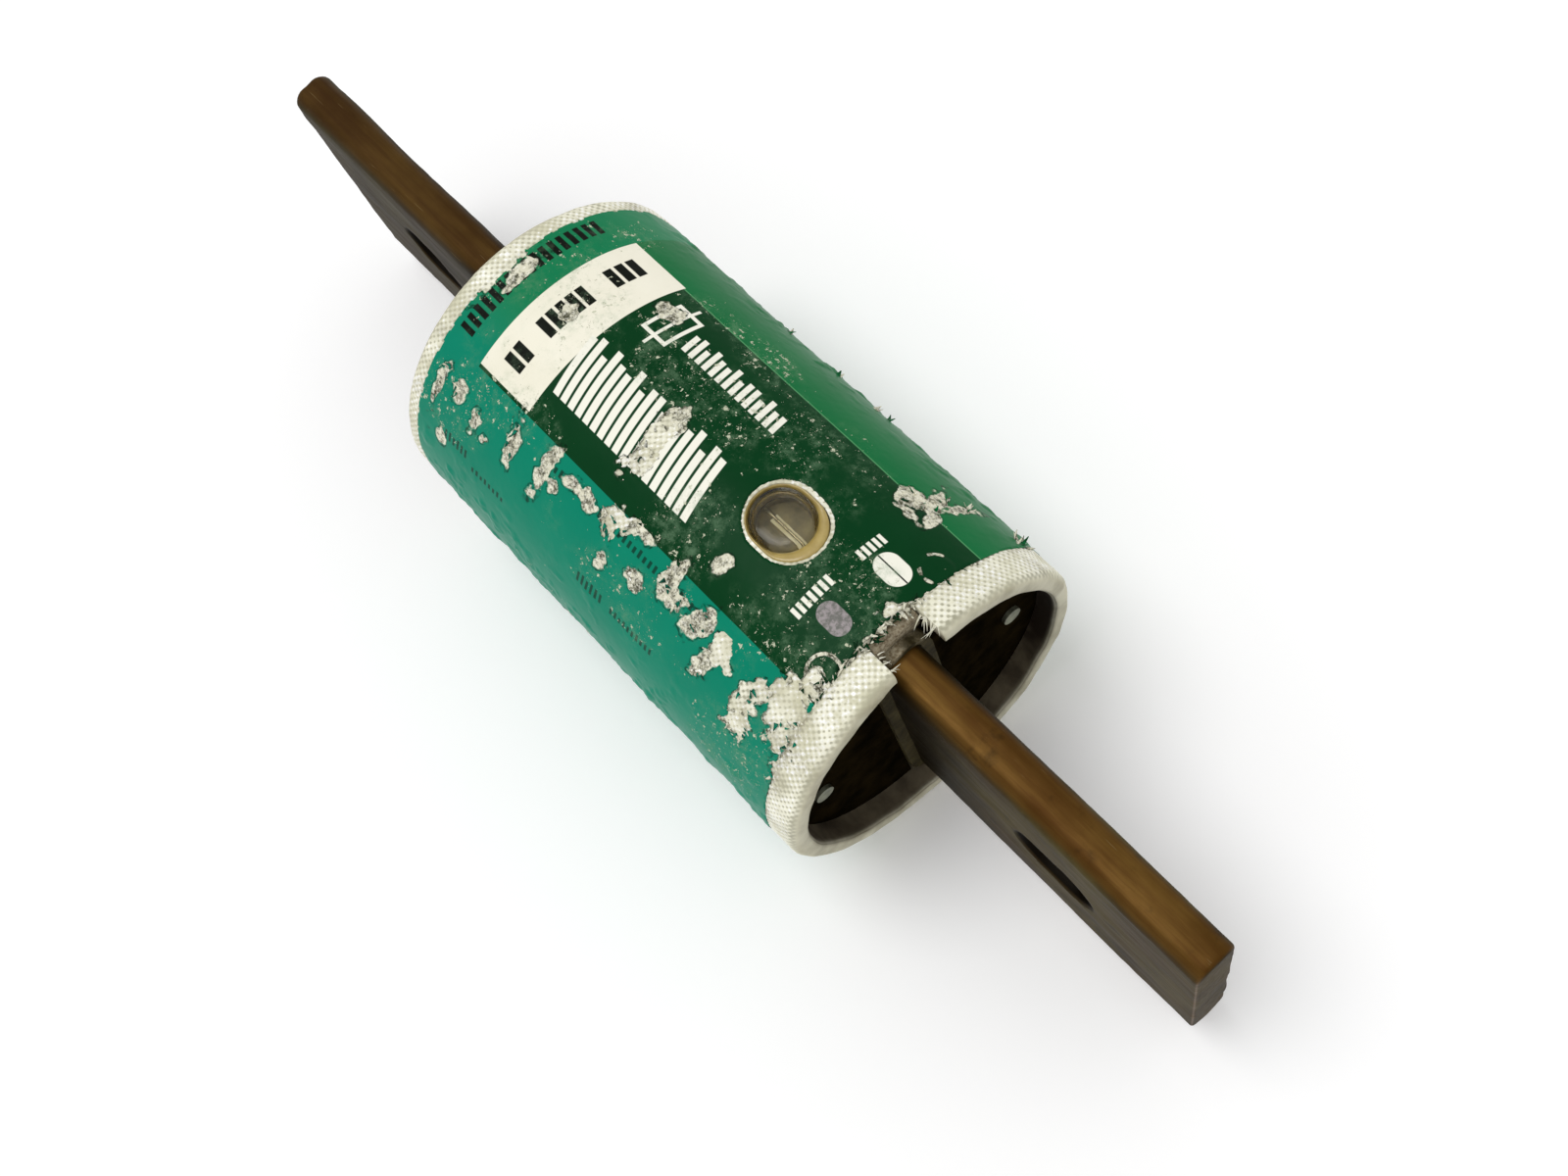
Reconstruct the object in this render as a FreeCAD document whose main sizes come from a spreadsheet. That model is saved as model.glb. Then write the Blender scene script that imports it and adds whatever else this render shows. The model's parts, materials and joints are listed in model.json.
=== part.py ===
import FreeCAD, Part
import math
import os

import Sketcher
from FreeCAD import Placement, Rotation, Vector

# Knife-blade cartridge fuse with a sand filling, an overload trigger and an indicator window.
#
# X runs along the fuse towards its near end, Z up along the blades' width, Y through their thickness.
# The origin is on the tube's axis, midway between the blade tips. Lengths are in millimetres.

SIZES = {
    # blades: a slotted flat bar at each end
    "overall": 181.0,
    "blade_width": 41.3,
    "blade_thickness": 6.35,
    "blade_edge_radius": 1.9,
    "blade_tip_chamfer": 0.3,
    "slot_spacing": 133.35,
    "slot_length": 13.5,
    "slot_width": 10.3,
    "blade_root_depth": 5.8,
    "blade_face_start": 43.0,
    "blade_face_relief": 0.05,
    # cartridge tube, turned slightly about the blades
    "tube_length": 84.2,
    "tube_radius": 25.2,
    "tube_wall": 3.0,
    "tube_turn": 3.0,
    "tube_end_round": 0.5,
    "notch_width": 7.8,
    "notch_depth": 5.9,
    # paper label in a shallow seat turned into the tube
    "label_seat_depth": 0.2,
    "label_paper": 0.15,
    "label_near_edge": 36.7,
    "label_far_edge": 39.0,
    # end block, its collar round the blade and, at the near end, its key in the tube's notch
    "end_recess": 3.8,
    "washer_thickness": 1.2,
    "end_block_thickness": 7.8,
    "collar_width": 9.6,
    "collar_height": 43.8,
    "collar_stand": 1.0,
    "key_width": 7.2,
    "key_length": 1.6,
    "key_radius": 24.0,
    "key_round": 0.7,
    "fill_plug_radius": 3.0,
    "fill_plug_y": 12.0,
    "fill_plug_z": -10.0,
    # pins through the tube and rivets through the end washer
    "pin_radius": 2.1,
    "pin_inset": 7.2,
    "pin_spread": 22.2,
    "pin_foot": 16.5,
    "pin_top": 24.85,
    "rivet_radius": 1.45,
    "rivet_offset": 17.2,
    "rivet_head": 0.6,
    "rivet_length": 5.0,
    # indicator window and what lies under it
    "window_x": 17.5,
    "window_y": 0.5,
    "window_length": 12.4,
    "window_width": 10.3,
    "window_rim": 0.3,
    "lens_gap": 0.2,
    "lens_foot": 22.6,
    "lens_shoulder": 23.6,
    "lens_top": 25.2,
    "lens_taper": 36.0,
    "lens_wall": 1.6,
    "lens_roof": 1.2,
    "cup_length": 13.8,
    "cup_width": 11.2,
    "cup_floor": 17.0,
    "cup_cavity_floor": 20.4,
    "cup_wall": 1.7,
    "strip_width": 1.2,
    "strip_thickness": 0.4,
    "wire_radius": 0.2,
    "wire_level": 21.2,
    "lead_radius": 0.4,
    "lead_level": 19.0,
    # overload chamber in the middle of the tube
    "chamber_half": 8.0,
    "chamber_washer": 2.0,
    "sleeve_radius": 18.0,
    "sleeve_wall": 2.5,
    "plate_radius": 15.0,
    "plate_thickness": 2.5,
    "plate_bore": 3.0,
    "plate_bore_depth": 2.0,
    "absorber_radius": 5.0,
    "absorber_length": 5.0,
    "stem_radius": 3.5,
    "seat_radius": 9.0,
    "seat_thickness": 1.0,
    "seat_gap": 0.05,
    "solder_thickness": 0.5,
    # trigger, its guide and its spring
    "rod_radius": 2.5,
    "rod_length": 9.0,
    "flange_radius": 8.5,
    "flange_thickness": 1.5,
    "flange_setback": 0.5,
    "guide_radius": 5.0,
    "guide_gap": 0.05,
    "guide_start": 4.8,
    "spring_radius": 7.2,
    "spring_wire": 0.5,
    "spring_pitch": 1.3,
    "spring_turns": 3.0,
    # short-circuit strips
    "link_ring": 13.0,
    "link_width": 9.0,
    "link_thickness": 0.5,
    "link_hole_radius": 0.8,
    "link_hole_pitch": 3.0,
}
LINK_ANGLES = (45, 135, 225, 315)
LINK_ROWS = (-1, 0, 1)
PIN_SIDES = (0, 180)
ALONG_X = Rotation(Vector(0, 1, 0), 90)
ABOUT_Z = Rotation(Vector(0, 0, 1), 180)
REACH = 30.0  # how far a cutting tool runs past the piece it cuts

doc = FreeCAD.newDocument("cartridge_fuse")
sheet = doc.addObject("Spreadsheet::Sheet", "Sizes")
for row, (name, number) in enumerate(SIZES.items(), start=1):
    sheet.set(f"A{row}", name)
    sheet.set(f"B{row}", str(number))
    sheet.setAlias(f"B{row}", name)
doc.recompute()


class Size:
    """A length that carries both its number and the sheet formula it comes from."""

    def __init__(self, number, formula):
        self.number = number
        self.formula = formula

    def joined(self, other, sign, result):
        return Size(result, f"({self.formula} {sign} {of_any(other).formula})")

    def __add__(self, other):
        return self.joined(other, "+", self.number + of_any(other).number)

    def __sub__(self, other):
        return self.joined(other, "-", self.number - of_any(other).number)

    def __mul__(self, other):
        return self.joined(other, "*", self.number * of_any(other).number)

    def __truediv__(self, other):
        return self.joined(other, "/", self.number / of_any(other).number)

    def __neg__(self):
        return self * -1


def of_any(value):
    """A Size from a Size or a plain number."""
    return value if isinstance(value, Size) else Size(value, repr(float(value)))


def size(name):
    return Size(SIZES[name], f"Sizes.{name}")


ZERO = of_any(0)
HALF_TUBE = size("tube_length") / 2
BORE = size("tube_radius") - size("tube_wall")
LABEL_SEAT = size("tube_radius") - size("label_seat_depth")
WASHER_FACE = HALF_TUBE - size("end_recess")
WASHER_BACK = WASHER_FACE - size("washer_thickness")
BLOCK_BACK = WASHER_BACK - size("end_block_thickness")
COLLAR_FACE = WASHER_FACE + size("collar_stand")
BLADE_ROOT = WASHER_BACK - size("blade_root_depth")
BLADE_TIP = size("overall") / 2
PLATE_BACK = size("chamber_half") + size("chamber_washer")
PLATE_FACE = PLATE_BACK + size("plate_thickness")
ABSORBER_FACE = size("absorber_length") - size("chamber_half")
ROD_START = ABSORBER_FACE + size("solder_thickness")


def bind(thing, **sizes):
    """Tie properties of an object to the sheet."""
    for key, value in sizes.items():
        thing.setExpression(key, of_any(value).formula)


def place(thing, x=ZERO, y=ZERO, z=ZERO, turn=None):
    """Put an object at a place that follows the sheet."""
    thing.Placement = Placement(Vector(), turn or Rotation())
    for key, value in (("x", x), ("y", y), ("z", z)):
        thing.setExpression(f"Placement.Base.{key}", of_any(value).formula)
    return thing


def rod(name, radius, start, end, y=ZERO, z=ZERO):
    """A round bar along X."""
    thing = doc.addObject("Part::Cylinder", name)
    bind(thing, Radius=radius, Height=of_any(end) - start)
    return place(thing, start, y, z, ALONG_X)


def bar(name, low, high):
    """A rectangular bar between two corners."""
    thing = doc.addObject("Part::Box", name)
    spans = [of_any(top) - bottom for bottom, top in zip(low, high)]
    bind(thing, Length=spans[0], Width=spans[1], Height=spans[2])
    return place(thing, *low)


def boolean(kind, name, base, tool):
    thing = doc.addObject(f"Part::{kind}", name)
    thing.Base, thing.Tool = base, tool
    return thing


def joined(name, pieces):
    """One solid from overlapping pieces."""
    thing = doc.addObject("Part::MultiFuse", name)
    thing.Shapes = pieces
    return thing


def grouped(name, pieces):
    """Several separate solids in one piece."""
    thing = doc.addObject("Part::Compound", name)
    thing.Links = pieces
    return thing


def cut(name, base, *tools):
    tool = tools[0] if len(tools) == 1 else grouped(f"{name}_tools", list(tools))
    return boolean("Cut", name, base, tool)


def ring(name, outer, inner, start, end):
    """A round tube along X."""
    return cut(name, rod(f"{name}_outer", outer, start, end), rod(f"{name}_inner", inner, start, end))


def new_body(name):
    return doc.addObject("PartDesign::Body", name)


def sketch_on(body, role, name, lift=ZERO):
    """A sketch on one of the body's own planes, lifted along the plane's normal."""
    sketch = body.newObject("Sketcher::SketchObject", name)
    plane = next(p for p in body.Origin.OriginFeatures if p.Role == role)
    sketch.AttachmentSupport = [(plane, "")]
    sketch.MapMode = "FlatFace"
    sketch.setExpression("AttachmentOffset.Base.z", of_any(lift).formula)
    return sketch


def fix_point(sketch, item, corner, x, y):
    """Hold one point of a sketch at a place that follows the sheet."""
    for kind, value in (("DistanceX", of_any(x)), ("DistanceY", of_any(y))):
        at = sketch.addConstraint(Sketcher.Constraint(kind, -1, 1, item, corner, value.number))
        sketch.setExpression(f"Constraints[{at}]", value.formula)


def fix_radius(sketch, item, radius):
    at = sketch.addConstraint(Sketcher.Constraint("Radius", item, of_any(radius).number))
    sketch.setExpression(f"Constraints[{at}]", of_any(radius).formula)


def add_circle(sketch, radius, x=ZERO, y=ZERO):
    middle = Vector(of_any(x).number, of_any(y).number, 0)
    item = sketch.addGeometry(Part.Circle(middle, Vector(0, 0, 1), of_any(radius).number))
    fix_point(sketch, item, 3, x, y)
    fix_radius(sketch, item, radius)


def add_outline(sketch, corners):
    """A closed outline of straight lines."""
    points = [Vector(of_any(x).number, of_any(y).number, 0) for x, y in corners]
    lines = [
        sketch.addGeometry(Part.LineSegment(a, b)) for a, b in zip(points, points[1:] + points[:1])
    ]
    for line, after, (x, y) in zip(lines, lines[1:] + lines[:1], corners):
        sketch.addConstraint(Sketcher.Constraint("Coincident", line, 2, after, 1))
        fix_point(sketch, line, 1, x, y)


def add_rectangle(sketch, left, bottom, right, top):
    add_outline(sketch, [(left, bottom), (right, bottom), (right, top), (left, top)])


def add_obround(sketch, length, width, x=ZERO, y=ZERO, upright=False):
    """A slot outline with round ends, lying along the sketch's X, or its Y when upright."""
    radius = of_any(width) / 2
    reach = (of_any(length) - width) / 2
    tilt = math.pi / 2 if upright else 0.0
    ends = [(x, y + reach), (x, y - reach)] if upright else [(x + reach, y), (x - reach, y)]
    arcs = []
    for (cx, cy), start in zip(ends, (tilt - math.pi / 2, tilt + math.pi / 2)):
        circle = Part.Circle(Vector(cx.number, cy.number, 0), Vector(0, 0, 1), radius.number)
        arcs.append(sketch.addGeometry(Part.ArcOfCircle(circle, start, start + math.pi)))
    far, near = (sketch.Geometry[item] for item in arcs)
    sides = [
        sketch.addGeometry(Part.LineSegment(far.EndPoint, near.StartPoint)),
        sketch.addGeometry(Part.LineSegment(near.EndPoint, far.StartPoint)),
    ]
    for line, arc, after in zip(sides, arcs, arcs[::-1]):
        sketch.addConstraint(Sketcher.Constraint("Tangent", arc, 2, line, 1))
        sketch.addConstraint(Sketcher.Constraint("Tangent", line, 2, after, 1))
    for item, (cx, cy) in zip(arcs, ends):
        fix_point(sketch, item, 3, cx, cy)
    fix_radius(sketch, arcs[0], radius)


def pad(body, sketch, length, name, both_ways=False):
    feature = body.newObject("PartDesign::Pad", name)
    feature.Profile = sketch
    feature.SideType = "Symmetric" if both_ways else "One side"
    bind(feature, Length=length)
    return feature


def pocket(body, sketch, length, name, both_ways=False, outwards=False):
    """Cut a sketch out of a body, and make sure that it cuts something."""
    doc.recompute()
    before = body.Shape.Volume
    feature = body.newObject("PartDesign::Pocket", name)
    feature.Profile = sketch
    feature.SideType = "Symmetric" if both_ways else "One side"
    feature.Reversed = outwards
    bind(feature, Length=length)
    doc.recompute()
    assert body.Shape.Volume < before - 0.01, f"{name} cuts nothing"
    return feature


def edges_of(feature, wanted):
    """The names of a feature's edges that pass a test."""
    doc.recompute()
    return [f"Edge{at}" for at, edge in enumerate(feature.Shape.Edges, start=1) if wanted(edge)]


def round_edges(body, feature, wanted, radius, name):
    fillet = body.newObject("PartDesign::Fillet", name)
    fillet.Base = (feature, edges_of(feature, wanted))
    bind(fillet, Radius=radius)
    return fillet


def spun(thing, angle):
    """Turn a finished piece about the fuse's axis, by an angle from +Z towards +Y."""
    thing.Placement = Placement(Vector(), Rotation(Vector(1, 0, 0), -angle))
    return thing


# ---------------------------------------------------------------- the cartridge


def tube_pins(name, swap):
    """The four radial pins of one end."""
    pins = []
    for side in PIN_SIDES:
        for sign in (-1, 1):
            angle = side + sign * SIZES["pin_spread"] + swap * SIZES["tube_turn"]
            pin = doc.addObject("Part::Cylinder", f"{name}_{len(pins)}")
            bind(pin, Radius=size("pin_radius"), Height=size("pin_top") - size("pin_foot"))
            tilt = Rotation(Vector(1, 0, 0), -angle)
            foot = tilt.multVec(Vector(0, 0, 1))
            place(
                pin,
                HALF_TUBE - size("pin_inset"),
                size("pin_foot") * foot.y,
                size("pin_foot") * foot.z,
                tilt,
            )
            pins.append(pin)
    return grouped(name, pins)


def fuse_tube(pins):
    """The laminate tube: a label seat, a notch over the near blade, the window and the pin holes."""
    body = new_body("tube_blank")
    profile = sketch_on(body, "XY_Plane", "tube_profile")
    add_outline(
        profile,
        [
            (-HALF_TUBE, BORE),
            (HALF_TUBE, BORE),
            (HALF_TUBE, size("tube_radius")),
            (size("label_near_edge"), size("tube_radius")),
            (size("label_near_edge"), LABEL_SEAT),
            (-size("label_far_edge"), LABEL_SEAT),
            (-size("label_far_edge"), size("tube_radius")),
            (-HALF_TUBE, size("tube_radius")),
        ],
    )
    spin = body.newObject("PartDesign::Revolution", "tube_wall")
    spin.Profile = profile
    spin.ReferenceAxis = (profile, ["H_Axis"])
    spin.Angle = 360

    def outer_end(edge):
        middle = edge.BoundBox
        at_end = abs(abs(middle.XMin) - HALF_TUBE.number) < 1e-6 and middle.XLength < 1e-6
        return at_end and abs(middle.YMax - SIZES["tube_radius"]) < 1e-6

    round_edges(body, spin, outer_end, size("tube_end_round"), "worn_ends")

    notch = sketch_on(body, "XY_Plane", "notch_outline")
    half = size("notch_width") / 2
    add_rectangle(notch, HALF_TUBE - size("notch_depth"), -half, HALF_TUBE + 1, half)
    pocket(body, notch, REACH, "notch", outwards=True)

    window = sketch_on(body, "XY_Plane", "window_outline")
    add_obround(
        window,
        size("window_length") - size("window_rim") * 2,
        size("window_width") - size("window_rim") * 2,
        size("window_x"),
        size("window_y"),
    )
    pocket(body, window, REACH, "window_hole", outwards=True)
    spun(body, SIZES["tube_turn"])
    return cut("fuse_tube", body, *pins)


def wrap_label():
    """The paper label, with the window cut out of it."""
    body = new_body("wrap_label")
    profile = sketch_on(body, "XY_Plane", "label_profile")
    add_rectangle(
        profile,
        -size("label_far_edge"),
        LABEL_SEAT,
        size("label_near_edge"),
        LABEL_SEAT + size("label_paper"),
    )
    spin = body.newObject("PartDesign::Revolution", "label_wrap")
    spin.Profile = profile
    spin.ReferenceAxis = (profile, ["H_Axis"])
    spin.Angle = 360
    window = sketch_on(body, "XY_Plane", "label_window")
    add_obround(
        window, size("window_length"), size("window_width"), size("window_x"), size("window_y")
    )
    pocket(body, window, REACH, "label_cutout", outwards=True)
    return spun(body, SIZES["tube_turn"])


# ---------------------------------------------------------------- the two ends


def knife_blade(name):
    """A flat bar with rounded long edges and a bolt slot."""
    body = new_body(name)
    side = sketch_on(body, "XZ_Plane", f"{name}_side")
    half = size("blade_width") / 2
    add_rectangle(side, BLADE_ROOT, -half, BLADE_TIP, half)
    stock = pad(body, side, size("blade_thickness"), f"{name}_bar", both_ways=True)

    def long_edge(edge):
        return edge.BoundBox.XLength > 1

    rounded = round_edges(body, stock, long_edge, size("blade_edge_radius"), f"{name}_edges")

    def tip_edge(edge):
        return edge.BoundBox.XMin > BLADE_TIP.number - 1e-6

    chamfer = body.newObject("PartDesign::Chamfer", f"{name}_tip")
    chamfer.Base = (rounded, edges_of(rounded, tip_edge))
    bind(chamfer, Size=size("blade_tip_chamfer"))
    slot = sketch_on(body, "XZ_Plane", f"{name}_slot_outline")
    add_obround(slot, size("slot_length"), size("slot_width"), size("slot_spacing") / 2)
    pocket(body, slot, size("blade_thickness") * 2, f"{name}_slot", both_ways=True)

    # the part inside the tube is a hair thinner, so the contact faces start clear of the tube
    relief = sketch_on(body, "XY_Plane", f"{name}_relief")
    outer = size("blade_thickness") / 2
    inner = outer - size("blade_face_relief")
    for side in (-1, 1):
        near, far = sorted((inner * side, outer * side), key=lambda value: value.number)
        add_rectangle(relief, BLADE_ROOT, near, size("blade_face_start"), far)
    pocket(body, relief, size("blade_width") * 2, f"{name}_root_relief", both_ways=True)
    return body


def washer_rivets(name):
    """The two rivets that hold the end washer to the block."""
    rivets = []
    for sign in (-1, 1):
        start = WASHER_FACE - size("rivet_length")
        end = WASHER_FACE + size("rivet_head")
        across = size("rivet_offset") * sign
        rivets.append(rod(f"{name}_{len(rivets)}", size("rivet_radius"), start, end, y=across))
    return grouped(name, rivets)


def fill_plug(name):
    """The plug in the hole that the sand is poured through."""
    across, up = size("fill_plug_y"), size("fill_plug_z")
    return rod(name, size("fill_plug_radius"), BLOCK_BACK, WASHER_BACK, across, up)


def notch_key(name):
    """The block's key, which fills the floor of the notch; its top long edges are rounded."""
    start = HALF_TUBE - size("notch_depth")
    half = size("key_width") / 2
    key = bar(
        f"{name}_key",
        (start, -half, BORE - 1),
        (start + size("key_length"), half, size("key_radius")),
    )
    crown = doc.addObject("Part::Fillet", f"{name}_key_crown")
    crown.Base = key
    doc.recompute()
    radius = SIZES["key_round"]
    crown.Edges = [
        (at, radius, radius)
        for at, edge in enumerate(key.Shape.Edges, start=1)
        if edge.BoundBox.ZMin > SIZES["key_radius"] - 1e-6 and edge.BoundBox.YLength > 1
    ]
    return spun(crown, SIZES["tube_turn"])


def end_block(name, keyed, blade, pins, rivets, plug):
    """The metal block in the tube's end: a disc, a collar round the blade and, at the notch, a key."""
    body = new_body(f"{name}_blank")
    disc = sketch_on(body, "YZ_Plane", f"{name}_disc", BLOCK_BACK)
    add_circle(disc, BORE)
    pad(body, disc, size("end_block_thickness"), f"{name}_disc_pad")
    collar = sketch_on(body, "YZ_Plane", f"{name}_collar", BLOCK_BACK)
    add_obround(collar, size("collar_height"), size("collar_width"), upright=True)
    pad(body, collar, COLLAR_FACE - BLOCK_BACK, f"{name}_collar_pad")
    blank = joined(f"{name}_with_key", [body, notch_key(name)]) if keyed else body
    return cut(name, blank, blade, pins, rivets, plug)


def end_washer(name, rivets):
    """The black fibre disc on the outside of the block, in two halves beside the blade's collar."""
    disc = rod(f"{name}_disc", BORE, WASHER_BACK, WASHER_FACE)
    half = size("collar_width") / 2
    gap = bar(f"{name}_gap", (WASHER_BACK, -half, -BORE), (WASHER_FACE, half, BORE))
    return cut(name, disc, gap, rivets)


def fuse_end(end, swap):
    """Everything in one end, modelled at the near end; the far end's pieces are then turned about Z."""
    near_end = swap > 0
    name = end if near_end else f"{end}_unturned"
    blade = knife_blade(f"{name}_blade")
    pins = tube_pins(f"{name}_tube_pins", swap)
    rivets = washer_rivets(f"{name}_washer_rivets")
    plug = fill_plug(f"{name}_fill_plug")
    block = end_block(f"{name}_end_block", near_end, blade, pins, rivets, plug)
    washer = end_washer(f"{name}_end_washer", rivets)
    pieces = {
        "blade": blade,
        "tube_pins": pins,
        "washer_rivets": rivets,
        "fill_plug": plug,
        "end_block": block,
        "end_washer": washer,
    }
    if near_end:
        return pieces
    return {key: place(grouped(f"{end}_{key}", [piece]), turn=ABOUT_Z) for key, piece in pieces.items()}


def span(side, inner, outer):
    """A stretch of the axis on the near side (side 1) or its mirror on the far side (side -1)."""
    return (inner, outer) if side > 0 else (-outer, -inner)


# ---------------------------------------------------------------- short-circuit strips


def link_strip(name, side, angle):
    """One perforated strip from the contact plate to the end block."""
    half = size("link_width") / 2
    start, end = span(side, PLATE_FACE, BLOCK_BACK)
    ring_low = size("link_ring") - size("link_thickness") / 2
    ring_high = size("link_ring") + size("link_thickness") / 2
    strip = bar(f"{name}_strip", (start, -half, ring_low), (end, half, ring_high))
    middle = (start + end) / 2
    holes = []
    for row in LINK_ROWS:
        for column in LINK_ROWS:
            hole = doc.addObject("Part::Cylinder", f"{name}_hole_{len(holes)}")
            bind(hole, Radius=size("link_hole_radius"), Height=size("link_thickness") * 3)
            pitch = size("link_hole_pitch")
            place(hole, middle + pitch * (row * 1.5), pitch * column, ring_low - size("link_thickness"))
            holes.append(hole)
    return spun(cut(name, strip, *holes), angle)


def short_circuit_links(name, side):
    strips = [link_strip(f"{name}_{at}", side, angle) for at, angle in enumerate(LINK_ANGLES)]
    return grouped(name, strips)


# ---------------------------------------------------------------- overload section


def near_contact_plate(disc):
    """The plate that the near strips are welded to, with a blind bore for the plunger's travel."""
    bottom = PLATE_BACK + size("plate_bore_depth")
    return cut("near_contact_plate", disc, rod("near_plate_bore", size("plate_bore"), PLATE_BACK, bottom))


def far_contact_plate():
    return rod("far_contact_plate", size("plate_radius"), -PLATE_FACE, -PLATE_BACK)


def chamber_washer(name, side, hole_radius, leads):
    """A disc that fills the bore and keeps the sand out of the overload chamber."""
    start, end = span(side, size("chamber_half"), PLATE_BACK)
    disc = rod(f"{name}_disc", BORE, start, end)
    return cut(name, disc, rod(f"{name}_hole", hole_radius, start, end), leads)


def overload_sleeve():
    inner = size("sleeve_radius") - size("sleeve_wall")
    return ring("overload_sleeve", size("sleeve_radius"), inner, -size("chamber_half"), size("chamber_half"))


def solder_joint():
    return rod("solder_joint", size("rod_radius"), ABSORBER_FACE, ROD_START)


def heat_absorber():
    head = rod("absorber_head", size("absorber_radius"), -size("chamber_half"), ABSORBER_FACE)
    stem = rod("absorber_stem", size("stem_radius"), -PLATE_BACK, -size("chamber_half"))
    return joined("heat_absorber", [head, stem])


def spring_seat():
    start = -size("chamber_half")
    inner = size("absorber_radius") + size("seat_gap")
    return ring("spring_seat", size("seat_radius"), inner, start, start + size("seat_thickness"))


def trigger_plunger():
    """A rod with a flange for the spring to push on."""
    shaft = rod("plunger_rod", size("rod_radius"), ROD_START, ROD_START + size("rod_length"))
    start = ROD_START + size("flange_setback")
    flange = rod("plunger_flange", size("flange_radius"), start, start + size("flange_thickness"))
    return joined("trigger_plunger", [shaft, flange])


def trigger_guide():
    inner = size("rod_radius") + size("guide_gap")
    return ring("trigger_guide", size("guide_radius"), inner, size("guide_start"), PLATE_BACK)


def trigger_spring():
    """A round-wire coil between the seat and the plunger's flange."""
    spine = doc.addObject("Part::Helix", "spring_spine")
    bind(
        spine,
        Pitch=size("spring_pitch"),
        Height=size("spring_pitch") * size("spring_turns"),
        Radius=size("spring_radius"),
    )
    wire = doc.addObject("Part::Circle", "spring_section")
    bind(wire, Radius=size("spring_wire"))
    place(wire, x=size("spring_radius"), turn=Rotation(Vector(1, 0, 0), 90))
    coil = doc.addObject("Part::Sweep", "trigger_spring")
    coil.Sections = [wire]
    doc.recompute()
    coil.Spine = (spine, [f"Edge{at + 1}" for at in range(len(spine.Shape.Edges))])
    coil.Solid = True
    coil.Frenet = True
    seat_top = size("seat_thickness") - size("chamber_half")
    flange_back = ROD_START + size("flange_setback")
    room = flange_back - seat_top - size("spring_pitch") * size("spring_turns")
    return place(coil, seat_top + room / 2, turn=ALONG_X)


# ---------------------------------------------------------------- indicator


def window_lens():
    """A clear moulded lens with sloping sides and a hollow underside."""
    body = new_body("window_lens")
    inset = (size("window_rim") + size("lens_gap")) * 2
    length, width = size("window_length") - inset, size("window_width") - inset
    x, y = size("window_x"), size("window_y")
    foot = sketch_on(body, "XY_Plane", "lens_foot_outline", size("lens_foot"))
    add_obround(foot, length, width, x, y)
    pad(body, foot, size("lens_shoulder") - size("lens_foot"), "lens_foot_pad")
    crown = sketch_on(body, "XY_Plane", "lens_crown_outline", size("lens_shoulder"))
    add_obround(crown, length, width, x, y)
    slope = pad(body, crown, size("lens_top") - size("lens_shoulder"), "lens_crown_pad")
    slope.TaperAngle = -SIZES["lens_taper"]
    wall = size("lens_wall") * 2
    hollow = sketch_on(body, "XY_Plane", "lens_hollow_outline", size("lens_foot"))
    add_obround(hollow, length - wall, width - wall, x, y)
    depth = size("lens_top") - size("lens_roof") - size("lens_foot")
    pocket(body, hollow, depth, "lens_hollow", outwards=True)
    return spun(body, SIZES["tube_turn"])


def window_gasket():
    """The bead that seals the lens in the tube's window hole."""
    body = new_body("window_gasket")
    rim, gap = size("window_rim") * 2, size("lens_gap") * 2
    x, y = size("window_x"), size("window_y")
    outline = sketch_on(body, "XY_Plane", "gasket_outline", size("lens_foot"))
    add_obround(outline, size("window_length") - rim, size("window_width") - rim, x, y)
    inner_length = size("window_length") - rim - gap
    add_obround(outline, inner_length, size("window_width") - rim - gap, x, y)
    pad(body, outline, size("lens_shoulder") - size("lens_foot"), "gasket_pad")
    return spun(body, SIZES["tube_turn"])


def cup_room():
    """The space below the window that the sand leaves free, open past the bore."""
    half_length, half_width = size("cup_length") / 2, size("cup_width") / 2
    x, y = size("window_x"), size("window_y")
    low = (x - half_length, y - half_width, size("cup_floor"))
    high = (x + half_length, y + half_width, REACH)
    return spun(bar("cup_room", low, high), SIZES["tube_turn"])


def indicator_cup(room):
    """A holder whose curved top fits the bore and whose cavity lies under the window."""
    half_length, x = size("cup_length") / 2, size("window_x")
    bore = rod("cup_bore", BORE, x - half_length, x + half_length)
    holder = boolean("Common", "cup_holder", room, bore)
    body = new_body("cup_cavity")
    cavity = sketch_on(body, "XY_Plane", "cup_cavity_outline", size("cup_cavity_floor"))
    wall = size("cup_wall") * 2
    length, width = size("cup_length") - wall, size("cup_width") - wall
    add_obround(cavity, length, width, x, size("window_y"))
    pad(body, cavity, REACH, "cup_cavity_pad")
    return cut("indicator_cup", holder, spun(body, SIZES["tube_turn"]))


def indicator_strip():
    half = size("cup_length") / 2 - size("cup_wall") * 2
    floor, side = size("cup_cavity_floor"), size("strip_width") / 2
    x, y = size("window_x"), size("window_y")
    body = new_body("indicator_strip")
    outline = sketch_on(body, "XY_Plane", "strip_outline", floor)
    add_rectangle(outline, x - half, y - side, x + half, y + side)
    pad(body, outline, size("strip_thickness"), "strip_pad")
    return spun(body, SIZES["tube_turn"])


def indicator_wire():
    """The thin wire that crosses the window above the strip."""
    half = size("cup_length") / 2 - size("cup_wall") - 0.05
    x, y, level = size("window_x"), size("window_y"), size("wire_level")
    wire = rod("wire_bar", size("wire_radius"), x - half, x + half, y, level)
    return spun(grouped("indicator_wire", [wire]), SIZES["tube_turn"])


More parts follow.
